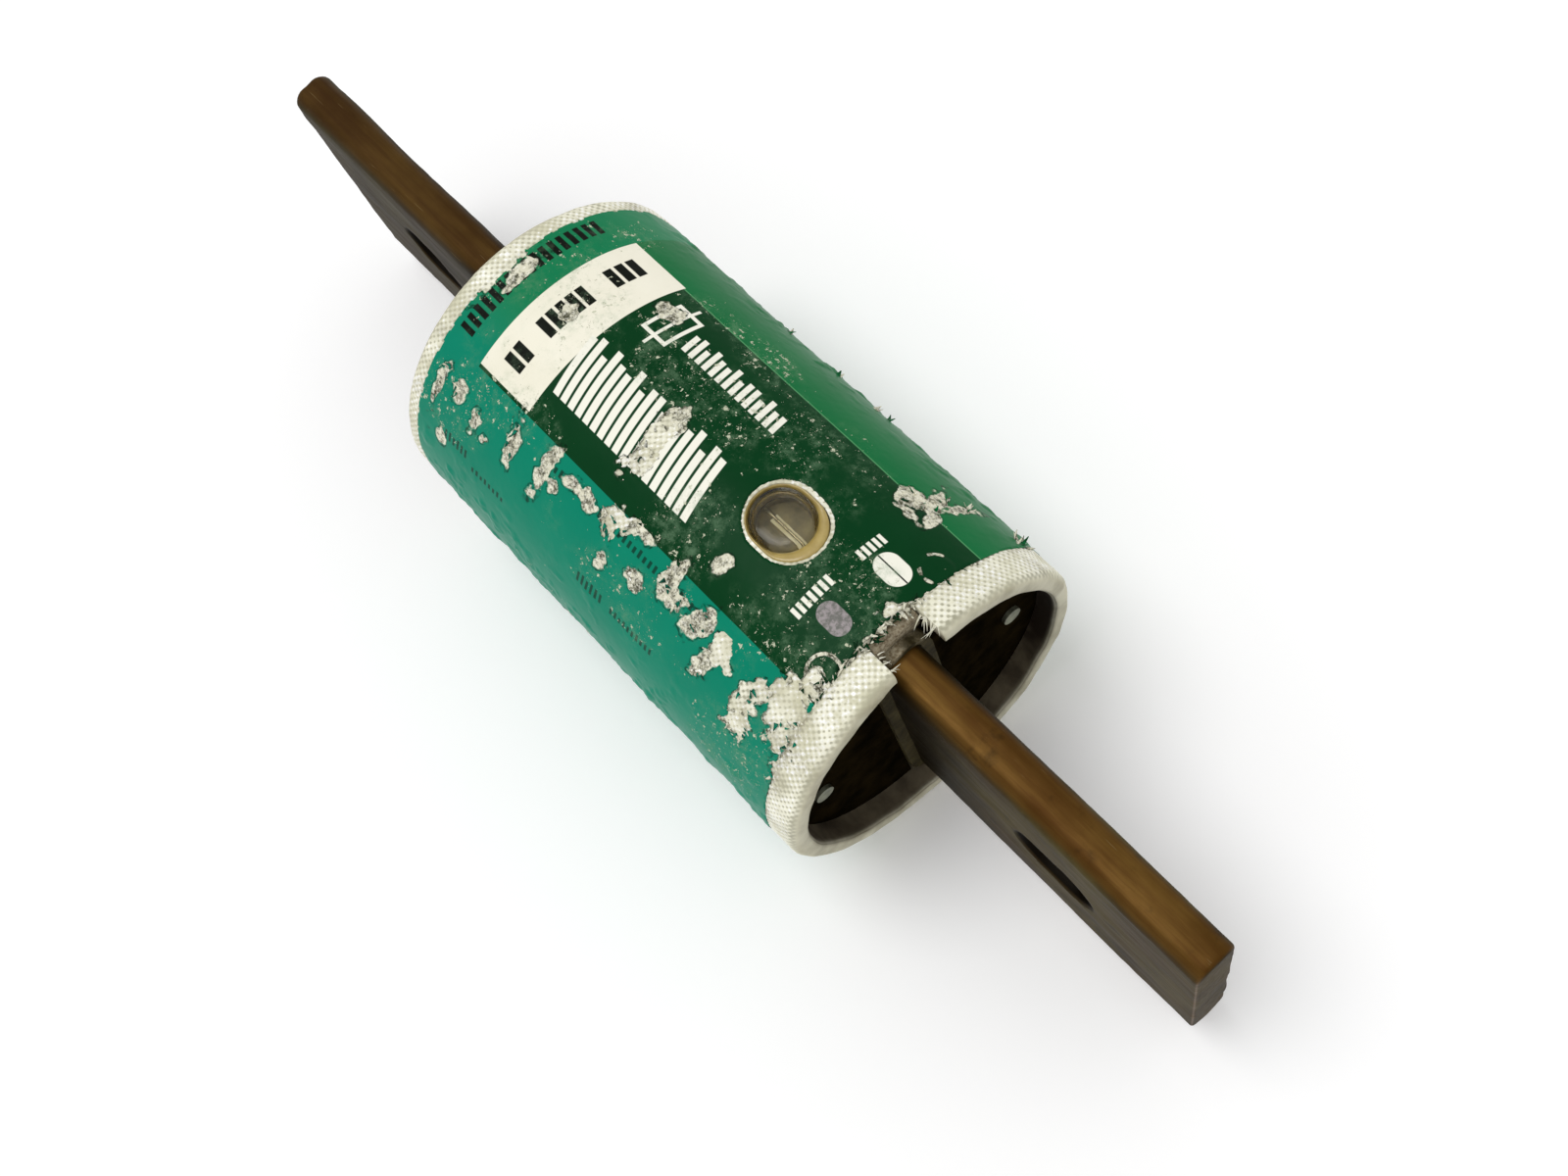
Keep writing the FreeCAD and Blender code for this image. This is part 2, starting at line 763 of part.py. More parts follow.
def indicator_leads():
    """One lead to each end block, in parallel with the main element."""
    half, x, y = size("cup_length") / 2, size("window_x"), size("window_y")
    radius, level = size("lead_radius"), size("lead_level")
    near = rod("near_lead", radius, x + half, BLOCK_BACK, y, level)
    far = rod("far_lead", radius, -BLOCK_BACK, x - half, y, level)
    return spun(grouped("indicator_leads", [near, far]), SIZES["tube_turn"])


# ---------------------------------------------------------------- assembly


def sand(name, side, *buried):
    """The quartz sand between an end block and the overload chamber, round what is buried in it."""
    return cut(name, rod(f"{name}_bulk", BORE, *span(side, PLATE_BACK, BLOCK_BACK)), *buried)


def assembly():
    """Every sub-part, by the name of its file."""
    ends = {"near": fuse_end("near", 1), "far": fuse_end("far", -1)}
    nodes = {f"{end}_{key}": piece for end, pieces in ends.items() for key, piece in pieces.items()}
    nodes["fuse_tube"] = fuse_tube([nodes["near_tube_pins"], nodes["far_tube_pins"]])
    nodes["wrap_label"] = wrap_label()
    for make in (
        window_lens,
        window_gasket,
        indicator_strip,
        indicator_wire,
        indicator_leads,
        far_contact_plate,
        overload_sleeve,
        heat_absorber,
        solder_joint,
        spring_seat,
        trigger_plunger,
        trigger_spring,
        trigger_guide,
    ):
        nodes[make.__name__] = make()
    leads = nodes["indicator_leads"]
    nodes["near_links"] = short_circuit_links("near_links", 1)
    nodes["far_links"] = short_circuit_links("far_links", -1)
    nodes["near_chamber_washer"] = chamber_washer("near_chamber_washer", 1, size("guide_radius"), leads)
    nodes["far_chamber_washer"] = chamber_washer("far_chamber_washer", -1, size("stem_radius"), leads)
    room = cup_room()
    plate = rod("near_plate_disc", size("plate_radius"), PLATE_BACK, PLATE_FACE)
    nodes["indicator_cup"] = indicator_cup(room)
    nodes["near_contact_plate"] = near_contact_plate(plate)
    nodes["near_sand"] = sand("near_sand", 1, nodes["near_links"], plate, leads, room)
    nodes["far_sand"] = sand("far_sand", -1, nodes["far_links"], nodes["far_contact_plate"], leads)
    return nodes


def checked(nodes):
    """Stop unless every object was made and every sub-part is a valid shape."""
    doc.recompute()
    bad = [thing.Name for thing in doc.Objects if {"Invalid", "Error"} & set(thing.State)]
    bad += [name for name, piece in nodes.items() if piece.Shape.isNull() or not piece.Shape.isValid()]
    assert not bad, f"not made: {bad}"
    return nodes


os.makedirs("parts", exist_ok=True)
for name, piece in checked(assembly()).items():
    piece.Label = name
    piece.Shape.exportStep(f"parts/{name}.step")
    box = piece.Shape.BoundBox
    print(f"{name}: {len(piece.Shape.Solids)} solids, {piece.Shape.Volume:.1f} mm3,"
          f" x {box.XMin:.2f} to {box.XMax:.2f}, z {box.ZMin:.2f} to {box.ZMax:.2f}")
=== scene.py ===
import itertools
import json
import math

import bmesh
import bpy
import numpy as np
from mathutils import Matrix, Vector


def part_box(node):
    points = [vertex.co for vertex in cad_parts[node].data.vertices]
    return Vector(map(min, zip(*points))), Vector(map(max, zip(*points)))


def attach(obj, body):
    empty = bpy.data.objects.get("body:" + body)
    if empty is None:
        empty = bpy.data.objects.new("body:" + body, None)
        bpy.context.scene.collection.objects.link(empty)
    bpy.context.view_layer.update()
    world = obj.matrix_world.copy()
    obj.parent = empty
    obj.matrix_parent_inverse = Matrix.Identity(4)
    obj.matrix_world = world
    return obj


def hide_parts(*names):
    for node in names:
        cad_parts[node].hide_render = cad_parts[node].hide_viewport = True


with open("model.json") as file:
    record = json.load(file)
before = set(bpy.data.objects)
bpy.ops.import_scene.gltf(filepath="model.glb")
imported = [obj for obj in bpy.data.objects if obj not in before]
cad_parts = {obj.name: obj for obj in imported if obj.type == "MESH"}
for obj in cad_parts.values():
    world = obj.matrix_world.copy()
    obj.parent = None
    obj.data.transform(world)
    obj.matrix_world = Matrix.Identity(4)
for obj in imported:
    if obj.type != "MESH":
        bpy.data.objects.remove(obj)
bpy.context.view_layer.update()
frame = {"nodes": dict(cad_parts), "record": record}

# A worn knife-blade cartridge fuse. Lengths are in millimetres until a mesh is made. A place on the
# tube is its X and its angle in degrees from +Z towards +Y, or the arc that the angle covers.
MM = 0.001


# ---------------------------------------------------------------- sizes


def box_mm(node):
    low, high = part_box(node)
    return np.array(low) / MM, np.array(high) / MM


tube_low, tube_high = box_mm("fuse_tube")
label_low, label_high = box_mm("wrap_label")
lens_low, lens_high = box_mm("window_lens")
_, washer_high = box_mm("near_end_washer")

# from the frame
HALF_TUBE = tube_high[0]
TUBE_R = -tube_low[2]
BORE_R = washer_high[1]
LABEL_FAR, LABEL_NEAR = label_low[0], label_high[0]
LENS_LENGTH, LENS_WIDTH = lens_high[0] - lens_low[0], lens_high[1] - lens_low[1]
WINDOW_X = (lens_low[0] + lens_high[0]) / 2
DEGREE = math.pi * TUBE_R / 180  # the arc that one degree covers, in millimetres

# as in the CAD, where no node's box gives them
TUBE_TURN = 3.0  # in degrees, for the notch, the window and the pins
NOTCH_FLOOR, NOTCH_WIDTH = 36.2, 7.8
SLOT_SPACING, SLOT_LENGTH, SLOT_WIDTH = 133.35, 13.5, 10.3
PIN_X = 34.9
PIN_SPREAD = 22.2  # in degrees, from the middle of the pair of pins to each of them


# ---------------------------------------------------------------- small tools


def noise(points, cell, seed):
    """Smooth noise from -1 to 1, with bumps about one cell wide."""
    side = 64
    table = np.random.default_rng(seed).uniform(-1, 1, (side, side, side))
    place = points / cell + 0.37 * seed
    base = np.floor(place).astype(int)
    part = place - base
    part = part * part * (3 - 2 * part)
    total = np.zeros(points.shape[:-1])
    for corner in itertools.product((0, 1), repeat=3):
        weight = np.prod(np.where(corner, part, 1 - part), axis=-1)
        at = (base + corner) % side
        total += weight * table[at[..., 0], at[..., 1], at[..., 2]]
    return total


def fractal(points, cell, seed, octaves=3):
    layers = [noise(points, cell / 2**k, seed + k) / 2**k for k in range(octaves)]
    return sum(layers)


def ramp(value, start, end):
    """0 before start and 1 after end, with a smooth step between."""
    part = np.clip((value - start) / (end - start), 0, 1)
    return part * part * (3 - 2 * part)


def on_tube(x, angle, radius):
    """Points at X, an angle in radians and a radius."""
    x, angle, radius = np.broadcast_arrays(x, angle, radius)
    return np.stack([x, radius * np.sin(angle), radius * np.cos(angle)], axis=-1)


def read_vectors(mesh, key):
    flat = np.empty(len(mesh.vertices) * 3, dtype=np.float32)
    mesh.vertices.foreach_get(key, flat)
    return flat.reshape(-1, 3).astype(float)


def read_points(mesh):
    return read_vectors(mesh, "co") / MM


def write_points(mesh, points):
    mesh.vertices.foreach_set("co", (points * MM).astype(np.float32).ravel())
    mesh.update()


def store(mesh, name, values):
    """A number, or a vector, for each point of a mesh, for its material to read."""
    kind, key = ("FLOAT", "value") if values.ndim == 1 else ("FLOAT_VECTOR", "vector")
    layer = mesh.attributes.new(name, kind, "POINT")
    layer.data.foreach_set(key, values.astype(np.float32).ravel())


def new_piece(name, points, faces, material=None):
    """A smooth mesh from an array of points and a list of faces."""
    mesh = bpy.data.meshes.new(name)
    mesh.from_pydata((points * MM).tolist(), [], faces)
    mesh.update()
    mesh.shade_smooth()
    if material:
        mesh.materials.append(material)
    piece = bpy.data.objects.new(name, mesh)
    bpy.context.scene.collection.objects.link(piece)
    return piece


def grid_faces(rows, columns, close_rows=False, close_columns=False):
    """Quads between the points of a grid that are numbered row by row."""
    row = np.arange(rows if close_rows else rows - 1)[:, None]
    column = np.arange(columns if close_columns else columns - 1)[None, :]
    after_row, after_column = (row + 1) % rows, (column + 1) % columns
    corners = [
        row * columns + column,
        after_row * columns + column,
        after_row * columns + after_column,
        row * columns + after_column,
    ]
    return np.stack(np.broadcast_arrays(*corners), axis=-1).reshape(-1, 4)


def face_outwards(mesh):
    """Turn a closed mesh's faces over if they point inwards."""
    work = bmesh.new()
    work.from_mesh(mesh)
    if work.calc_volume(signed=True) < 0:
        bmesh.ops.reverse_faces(work, faces=work.faces)
        work.to_mesh(mesh)
    work.free()


def apply_modifiers(piece):
    graph = bpy.context.evaluated_depsgraph_get()
    mesh = bpy.data.meshes.new_from_object(piece.evaluated_get(graph))
    piece.modifiers.clear()
    piece.data = mesh


def carve(piece, cutters):
    """Cut closed shapes out of a closed shape."""
    for cutter in cutters:
        step = piece.modifiers.new("carve", "BOOLEAN")
        step.operation = "DIFFERENCE"
        step.solver = "MANIFOLD"
        step.object = cutter
    apply_modifiers(piece)
    for cutter in cutters:
        bpy.data.objects.remove(cutter)


def obround(length, width, count=24):
    """The outline of a slot with round ends, along the first axis, turning left."""
    radius, reach = width / 2, (length - width) / 2
    turn = np.linspace(-math.pi / 2, math.pi / 2, count)
    right = np.stack([reach + radius * np.cos(turn), radius * np.sin(turn)], axis=-1)
    return np.concatenate([right, -right])


def loft(name, rings, material=None):
    """A closed shape through rings that have the same number of points."""
    rings = np.asarray(rings)
    count, size = rings.shape[:2]
    faces = grid_faces(count, size, close_columns=True)[:, ::-1].tolist()
    faces += [list(range(size))[::-1], list(range((count - 1) * size, count * size))]
    piece = new_piece(name, rings.reshape(-1, 3), faces, material)
    face_outwards(piece.data)
    return piece


def finish_piece(piece, node, body="fuse_body"):
    """Fix a piece to its body, in the place of a CAD node."""
    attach(piece, body)
    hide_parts(node)


# ---------------------------------------------------------------- shader tools


def srgb(red, green, blue):
    """A colour given from 0 to 255 as a screen shows it, as the linear colour that shaders use."""
    parts = [value / 255 for value in (red, green, blue)]
    linear = [p / 12.92 if p <= 0.04045 else ((p + 0.055) / 1.055) ** 2.4 for p in parts]
    return (*linear, 1.0)


def feed(tree, value, target):
    """Give a node's input a Number, another node's output or a constant."""
    if isinstance(value, Number):
        value = value.socket
    if isinstance(value, bpy.types.NodeSocket):
        tree.links.new(value, target)
    else:
        target.default_value = value


class Number:
    """A number that varies over a surface, worked out by shader nodes."""

    def __init__(self, tree, socket):
        self.tree = tree
        self.socket = socket

    def math(self, operation, *others):
        node = self.tree.nodes.new("ShaderNodeMath")
        node.operation = operation
        for value, target in zip((self, *others), node.inputs):
            feed(self.tree, value, target)
        return Number(self.tree, node.outputs[0])

    def __add__(self, other):
        return self.math("ADD", other)

    def __sub__(self, other):
        return self.math("SUBTRACT", other)

    def __mul__(self, other):
        return self.math("MULTIPLY", other)

    def most(self, other):
        return self.math("MAXIMUM", other)

    def ramp(self, start, end, low=0.0, high=1.0):
        """low up to start, high from end on, and a smooth step between."""
        node = self.tree.nodes.new("ShaderNodeMapRange")
        node.interpolation_type = "SMOOTHSTEP"
        names = ("Value", "From Min", "From Max", "To Min", "To Max")
        for name, value in zip(names, (self, start, end, low, high)):
            feed(self.tree, value, node.inputs[name])
        return Number(self.tree, node.outputs["Result"])

    def within(self, low, high, soft=0.05):
        """1 between low and high, 0 outside."""
        return self.ramp(low - soft, low + soft) * self.ramp(high - soft, high + soft, 1.0, 0.0)


class Surface:
    """A material under construction."""

    def __init__(self, name, roughness=0.5, metallic=0.0, **constants):
        self.material = bpy.data.materials.new(name)
        self.material.use_nodes = True
        self.tree = self.material.node_tree
        self.shader = next(n for n in self.tree.nodes if n.type == "BSDF_PRINCIPLED")
        self.set("Roughness", roughness)
        self.set("Metallic", metallic)
        for key, value in constants.items():
            self.set(key.replace("_", " ").title().replace("Ior", "IOR"), value)
        place = self.tree.nodes.new("ShaderNodeTexCoord")
        scale = self.tree.nodes.new("ShaderNodeVectorMath")
        scale.operation = "SCALE"
        scale.inputs["Scale"].default_value = 1 / MM
        self.tree.links.new(place.outputs["Object"], scale.inputs[0])
        self.place = scale.outputs[0]

    def set(self, key, value):
        feed(self.tree, value, self.shader.inputs[key])

    def stretched(self, across):
        """The place, squeezed along each axis by a factor: grain runs along a small one."""
        node = self.tree.nodes.new("ShaderNodeVectorMath")
        node.operation = "MULTIPLY"
        self.tree.links.new(self.place, node.inputs[0])
        node.inputs[1].default_value = across
        return node.outputs[0]

    def noise(self, cell, detail=3.0, rough=0.55, stretch=None, seed=0.0):
        """Noise from 0 to 1 with lumps about one cell wide, in millimetres."""
        node = self.tree.nodes.new("ShaderNodeTexNoise")
        node.noise_dimensions = "4D"
        node.inputs["W"].default_value = seed
        node.inputs["Scale"].default_value = 1 / cell
        node.inputs["Detail"].default_value = detail
        node.inputs["Roughness"].default_value = rough
        source = self.stretched(stretch) if stretch else self.place
        self.tree.links.new(source, node.inputs["Vector"])
        return Number(self.tree, node.outputs["Fac"])

    def value(self, name):
        """A number that the mesh stores for each point."""
        node = self.tree.nodes.new("ShaderNodeAttribute")
        node.attribute_name = name
        return Number(self.tree, node.outputs["Fac"])

    def split(self, vector):
        """The three numbers of a vector."""
        node = self.tree.nodes.new("ShaderNodeSeparateXYZ")
        self.tree.links.new(vector, node.inputs[0])
        return [Number(self.tree, socket) for socket in node.outputs]

    def vector(self, name):
        """The three numbers of a vector that the mesh stores for each point."""
        node = self.tree.nodes.new("ShaderNodeAttribute")
        node.attribute_name = name
        return self.split(node.outputs["Vector"])

    def mix(self, factor, low, high):
        """The colour low where factor is 0 and high where it is 1."""
        node = self.tree.nodes.new("ShaderNodeMix")
        node.data_type = "RGBA"
        factor_in, low_in, high_in, colour_out = 0, 6, 7, 2
        for value, place in ((factor, factor_in), (low, low_in), (high, high_in)):
            feed(self.tree, value, node.inputs[place])
        return node.outputs[colour_out]

    def colour(self, value):
        self.set("Base Color", value)

    def bump(self, height, depth):
        """Raise the surface by height, a number from 0 to 1, times depth in millimetres."""
        node = self.tree.nodes.new("ShaderNodeBump")
        node.inputs["Distance"].default_value = depth * MM
        self.tree.links.new(height.socket, node.inputs["Height"])
        self.tree.links.new(node.outputs[0], self.shader.inputs["Normal"])


# ---------------------------------------------------------------- materials


def label_material():
    """Printed paper: colour fields, plain bars for the print, scuffs down to white paper."""
    paint = Surface("printed_label", roughness=0.35, specular_ior_level=0.06)
    x, arc, _ = paint.vector("place")
    scuff, fade = paint.value("scuff"), paint.value("wear")
    blotch = paint.noise(9.0, 3.0)
    grain = paint.noise(0.35, 2.0)
    fibre = paint.noise(1.1, 5.0, 0.75, seed=6.0)

    teal = paint.mix(blotch, srgb(0, 122, 96), srgb(10, 134, 106))
    band = paint.mix(blotch, srgb(8, 116, 72), srgb(26, 128, 84))
    green = paint.mix(blotch, srgb(0, 100, 50), srgb(6, 112, 60))
    dark = paint.mix(blotch, srgb(0, 50, 20), srgb(4, 62, 28))
    white = paint.mix(blotch, srgb(232, 227, 205), srgb(250, 247, 232))

    panel_left, panel_right = -27.5 * DEGREE, 39.0 * DEGREE
    on_panel = arc.within(panel_left, panel_right)
    past_band = x.ramp(-31.65, -31.55)
    band = paint.mix(arc.ramp(-28 * DEGREE, 0), teal, band)
    colour = paint.mix(arc.ramp(panel_right - 0.05, panel_right + 0.05), teal, green)
    colour = paint.mix(past_band, band, colour)
    colour = paint.mix(on_panel * past_band, colour, dark)
    box = x.within(-31.6, -20.8) * arc.within(-26.3 * DEGREE, 40.0 * DEGREE)
    colour = paint.mix(box, colour, white)
    line = arc.within(panel_right, panel_right + 0.2) * x.ramp(-20.85, -20.75)
    colour = paint.mix(line * 0.5, colour, srgb(110, 180, 120))

    colour = printing(paint, x, arc, colour)

    # rubbed areas lose their colour in a fine haze, and chips and strokes show white paper
    mist = paint.noise(2.2, 6.0, 0.8, seed=3.0).ramp(0.46, 0.7)
    haze = fade.ramp(0.45, 1.0) * mist
    colour = paint.mix(haze * 0.42, colour, srgb(122, 156, 122))
    chipped = flecks(paint, fade, 0.9, None, 7.0, 0.76, 0.6)
    chipped = chipped.most(flecks(paint, fade, 0.4, None, 8.0, 0.78, 0.63))
    chipped = chipped.most(flecks(paint, fade, 0.5, (0.1, 1.0, 1.0), 11.0, 0.79, 0.7))
    chipped = chipped.most(flecks(paint, fade, 0.45, (1.0, 0.1, 0.15), 12.0, 0.8, 0.69))
    torn = scuff.ramp(0.35, 0.6)
    paper = paint.mix(fibre.ramp(0.4, 0.58), srgb(74, 74, 56), srgb(222, 219, 196))
    paper = paint.mix(grain.ramp(0.45, 0.7) * 0.6, paper, srgb(252, 250, 236))
    fleck = paint.mix(grain, srgb(150, 160, 126), srgb(240, 240, 216))
    colour = paint.mix(chipped * 0.9, colour, fleck)
    # painted shadow: a thin dark line round each bare patch, as the shade of the torn paper's edge
    rim = scuff.within(0.2, 0.36, 0.05) * fibre.ramp(0.4, 0.6)
    colour = paint.mix(rim * 0.8, colour, srgb(6, 26, 12))
    colour = paint.mix(torn, colour, paper)
    paint.colour(colour)
    paint.set("Roughness", torn * 0.45 + chipped * 0.3 + haze * 0.25 + 0.36)
    height = blotch * 0.2 + fibre * torn * 1.3 + paint.noise(3.0, 4.0, seed=5.0) * 0.5
    paint.bump(height - chipped * 0.35, 0.1)
    return paint.material


def flecks(paint, fade, cell, stretch, seed, rare, common):
    """Small chips that grow in number from where fade is 0 to where it is 1."""
    field = paint.noise(cell, 4.0, 0.7, stretch=stretch, seed=seed)
    edge = fade.ramp(0.0, 1.0, rare, common)
    return field.ramp(edge, edge + 0.02)


def row_of_bars(along, across, start, end, low, high, pitch, fill, uneven=0.0):
    """A row from start to end of bars that reach from low to high, as many as fit evenly."""
    pitch = (end - start) / round((end - start) / pitch)
    place = along.math("SUBTRACT", start).math("DIVIDE", pitch)
    longer = (place.math("FLOOR") * 2.4).math("SINE") * uneven
    bar = place.math("FRACT").within(0.5 - fill / 2, 0.5 + fill / 2, 0.06 / pitch)
    top = across.ramp(longer + (high - 0.05), longer + (high + 0.05), 1.0, 0.0)
    return bar * top * across.ramp(low - 0.05, low + 0.05) * along.within(start, end)


def bars(x, arc, start, end, low, high, pitch, fill, uneven, lean=0.0):
    """Plain print: bars across the label, in a row from start to end of X, between two angles."""
    limits = (low * DEGREE, high * DEGREE)
    return row_of_bars(x + arc * lean, arc, start, end, *limits, pitch, fill, uneven)


def ticks(x, arc, start, end, low, high, pitch, fill):
    """Plain print: bars along X from start to end, in a row between two angles."""
    return row_of_bars(arc, x, low * DEGREE, high * DEGREE, start, end, pitch, fill)


def spot(x, arc, centre_x, centre_angle, length, width):
    """A slot-shaped patch with round ends, along X."""
    radius, reach = width / 2, (length - width) / 2
    along = (x.math("SUBTRACT", centre_x).math("ABSOLUTE") - reach).most(0.0)
    across = arc.math("SUBTRACT", centre_angle * DEGREE)
    away = (along * along + across * across).math("SQRT")
    return away.ramp(radius - 0.06, radius + 0.06, 1.0, 0.0)


def printing(paint, x, arc, colour):
    """Every word and mark of the label as plain bars, and the two pictures of the window."""
    white, black = srgb(244, 242, 228), srgb(14, 18, 12)
    pale = bars(x, arc, -21.3, 6.5, -16.6, 4.2, 1.55, 0.72, 1.1, lean=0.2)
    pale = pale.most(bars(x, arc, -10.2, 8.6, 20.5, 28.0, 1.3, 0.66, 0.7, lean=0.2))

    # a fuse's symbol: a box with a line through it
    box = x.within(-18.3, -13.4) * arc.within(17.0 * DEGREE, 33.0 * DEGREE)
    inside = x.within(-17.7, -14.0) * arc.within(18.4 * DEGREE, 31.6 * DEGREE)
    through = x.within(-16.1, -15.6) * arc.within(13.5 * DEGREE, 36.4 * DEGREE)
    pale = pale.most((box - inside).most(0.0)).most(through)

    # the window with its line, and dark without it
    pale = pale.most(ticks(x, arc, 26.6, 28.2, 10.8, 21.0, 0.95, 0.6))
    pale = pale.most(ticks(x, arc, 26.3, 28.0, -13.9, 1.4, 0.93, 0.6))
    good_angle, half_line = 15.3, 0.11
    good = spot(x, arc, 31.5, good_angle, 5.3, 3.8)
    line = arc.within(good_angle * DEGREE - half_line, good_angle * DEGREE + half_line, 0.03)
    colour = paint.mix(pale.most(good), colour, white)
    blot = paint.noise(0.8, 5.0, 0.7).ramp(0.4, 0.6)
    blot = paint.mix(blot, srgb(118, 116, 112), srgb(170, 160, 162))
    colour = paint.mix(spot(x, arc, 31.2, -6.4, 5.1, 3.2) * 0.85, colour, blot)

    ink = good * line
    for start, end, low, high, pitch, fill in (
        (-28.9, -25.4, -20.6, -12.0, 1.6, 0.74),
        (-28.9, -25.4, -6.0, 13.5, 1.7, 0.74),
        (-28.9, -25.4, 20.5, 33.7, 1.7, 0.74),
        (-37.9, -35.1, -23.0, 34.6, 1.5, 0.6),
    ):
        ink = ink.most(ticks(x, arc, start, end, low, high, pitch, fill))
    small = bars(x, arc, -15.0, 22.0, -34.8, -32.4, 1.02, 0.5, 0.16)
    for start, end, low, high in (
        (-33.0, -27.5, -57.5, -54.0),
        (-26.5, -19.0, -60.0, -58.0),
        (-3.0, 2.6, -59.4, -55.6),
        (4.0, 13.0, -59.4, -57.0),
    ):
        small = small.most(bars(x, arc, start, end, low, high, 0.93, 0.5, 0.15))
    colour = paint.mix(ink, colour, black)
    return paint.mix(small * 0.75, colour, black)


def cloth_material():
    """Resin-bonded glass cloth: pale glossy threads with painted white glints on their crossings, soiled
    valleys with painted shade between them, brown where it is cut.
    """
    paint = Surface("glass_cloth_laminate", roughness=0.45, specular_ior_level=0.5)
    weave, cut, inside, grime = (paint.value(key) for key in ("weave", "cut", "inside", "grime"))
    blotch = paint.noise(5.0, 4.0, 0.6)
    fine = paint.noise(0.5, 3.0, 0.6)
    pale = paint.mix(blotch.ramp(0.3, 0.7), srgb(206, 203, 174), srgb(244, 242, 222))
    # painted highlight: white glints painted on the tops of the thread crossings
    glint = paint.noise(0.7, 3.0, 0.6, seed=9.0).ramp(0.4, 0.65)
    pale = paint.mix(weave.ramp(0.55, 0.8) * glint, pale, srgb(255, 255, 252))
    # the valleys between the threads are painted darker: dirt, and painted shade between the crossings
    valley_shade_and_dirt = paint.mix(fine, srgb(86, 82, 56), srgb(176, 172, 140))
    valley = weave.ramp(0.5, 0.15) * blotch.ramp(0.25, 0.7, 0.25, 0.8)
    colour = paint.mix(valley, pale, valley_shade_and_dirt)
    colour = paint.mix(grime * fine.ramp(0.3, 0.65) * 0.8, colour, srgb(104, 96, 72))
    lip = paint.mix(blotch.ramp(0.3, 0.7), srgb(168, 162, 134), srgb(210, 206, 180))
    colour = paint.mix(cut, colour, lip)
    laminate = paint.mix(blotch.ramp(0.3, 0.7), srgb(92, 80, 62), srgb(140, 128, 104))
    stain = paint.noise(9.0, 4.0, 0.5, seed=4.0) + paint.value("stained") * 0.35 - 0.05
    laminate = paint.mix(stain.ramp(0.5, 0.72), laminate, srgb(44, 30, 12))
    colour = paint.mix(inside, colour, laminate)
    paint.colour(colour)
    paint.set("Roughness", weave.ramp(0.3, 0.9, 0.6, 0.3) + inside * 0.3)
    paint.bump(fine * 0.6 + blotch * 0.4, 0.05)
    return paint.material


def patina_material():
    """Copper bar with a brown skin: long streaks, grey rubbed stretches, small bright nicks; its broad
    faces and tip painted darker as shade, painted shade in the slot and beside the root, and the far blade
    darker all over.
    """
    paint = Surface("aged_copper_bar", roughness=0.42, specular_ior_level=0.06)
    long_streak = paint.noise(1.1, 5.0, 0.62, stretch=(0.05, 1.0, 1.0))
    cloud = paint.noise(9.0, 4.0, 0.6, stretch=(0.5, 1.0, 1.0), seed=2.0)
    fine = paint.noise(0.4, 2.0, 0.5, stretch=(0.12, 1.0, 1.0), seed=3.0)
    brown = paint.mix(cloud.ramp(0.3, 0.7), srgb(76, 50, 14), srgb(106, 78, 34))
    brown = paint.mix(long_streak.ramp(0.35, 0.7) * 0.6, brown, srgb(66, 38, 8))
    patch = paint.noise(14.0, 5.0, 0.6, seed=6.0)
    # painted shade: the broad faces and the tip of the bar get darker colours than its narrow edges, with
    # grey-olive rubbed stretches on them
    shaded_face = paint.mix(cloud.ramp(0.3, 0.7), srgb(32, 21, 1), srgb(60, 44, 8))
    olive = paint.mix(fine * 0.4 + patch * 0.4, srgb(50, 41, 9), srgb(84, 72, 30))
    side = paint.value("flat")
    rubbed = (patch * 0.75 + long_streak * 0.25).ramp(0.38, 0.62)
    colour = paint.mix(side, brown, paint.mix(rubbed, shaded_face, olive))
    # random dark tarnish blotches; with them, painted shade in the slot and beside the root, and a darker
    # far blade
    dark = paint.noise(6.0, 4.0, 0.65, seed=9.0).ramp(0.54, 0.72) * 0.65
    colour = paint.mix(dark.most(paint.value("shade_and_darkening")), colour, srgb(14, 9, 3))
    nick = paint.noise(0.9, 5.0, 0.7, stretch=(0.7, 1.0, 1.0), seed=5.0).ramp(0.71, 0.75)
    colour = paint.mix(nick * 0.6, colour, srgb(166, 140, 98))
    hair = paint.noise(0.25, 2.0, 0.5, stretch=(0.04, 1.0, 1.0), seed=8.0).ramp(0.68, 0.74)
    colour = paint.mix(hair * 0.3, colour, srgb(140, 120, 84))
    paint.colour(colour)
    paint.set("Metallic", side.ramp(0.0, 1.0, 0.32, 0.0))
    paint.set("Roughness", long_streak.ramp(0.3, 0.7, 0.36, 0.48) + side * 0.15)
    paint.bump(long_streak * 0.5 + fine * 0.3 + paint.noise(2.5, 3.0) * 0.5, 0.05)
    return paint.material


def lens_material():
    paint = Surface("smoked_clear_plastic", roughness=0.06, transmission_weight=1.0, ior=1.3)
    haze = paint.noise(2.0, 4.0, 0.7)
    paint.colour(paint.mix(haze, srgb(240, 236, 218), srgb(254, 252, 244)))
    paint.bump(paint.noise(1.2, 3.0), 0.02)
    return paint.material


def amber_material():
    paint = Surface("amber_seal", roughness=0.3, coat_weight=0.4)
    blotch = paint.noise(1.6, 4.0, 0.6)
    paint.colour(paint.mix(blotch, srgb(132, 108, 44), srgb(196, 174, 102)))
    paint.bump(blotch, 0.06)
    return paint.material


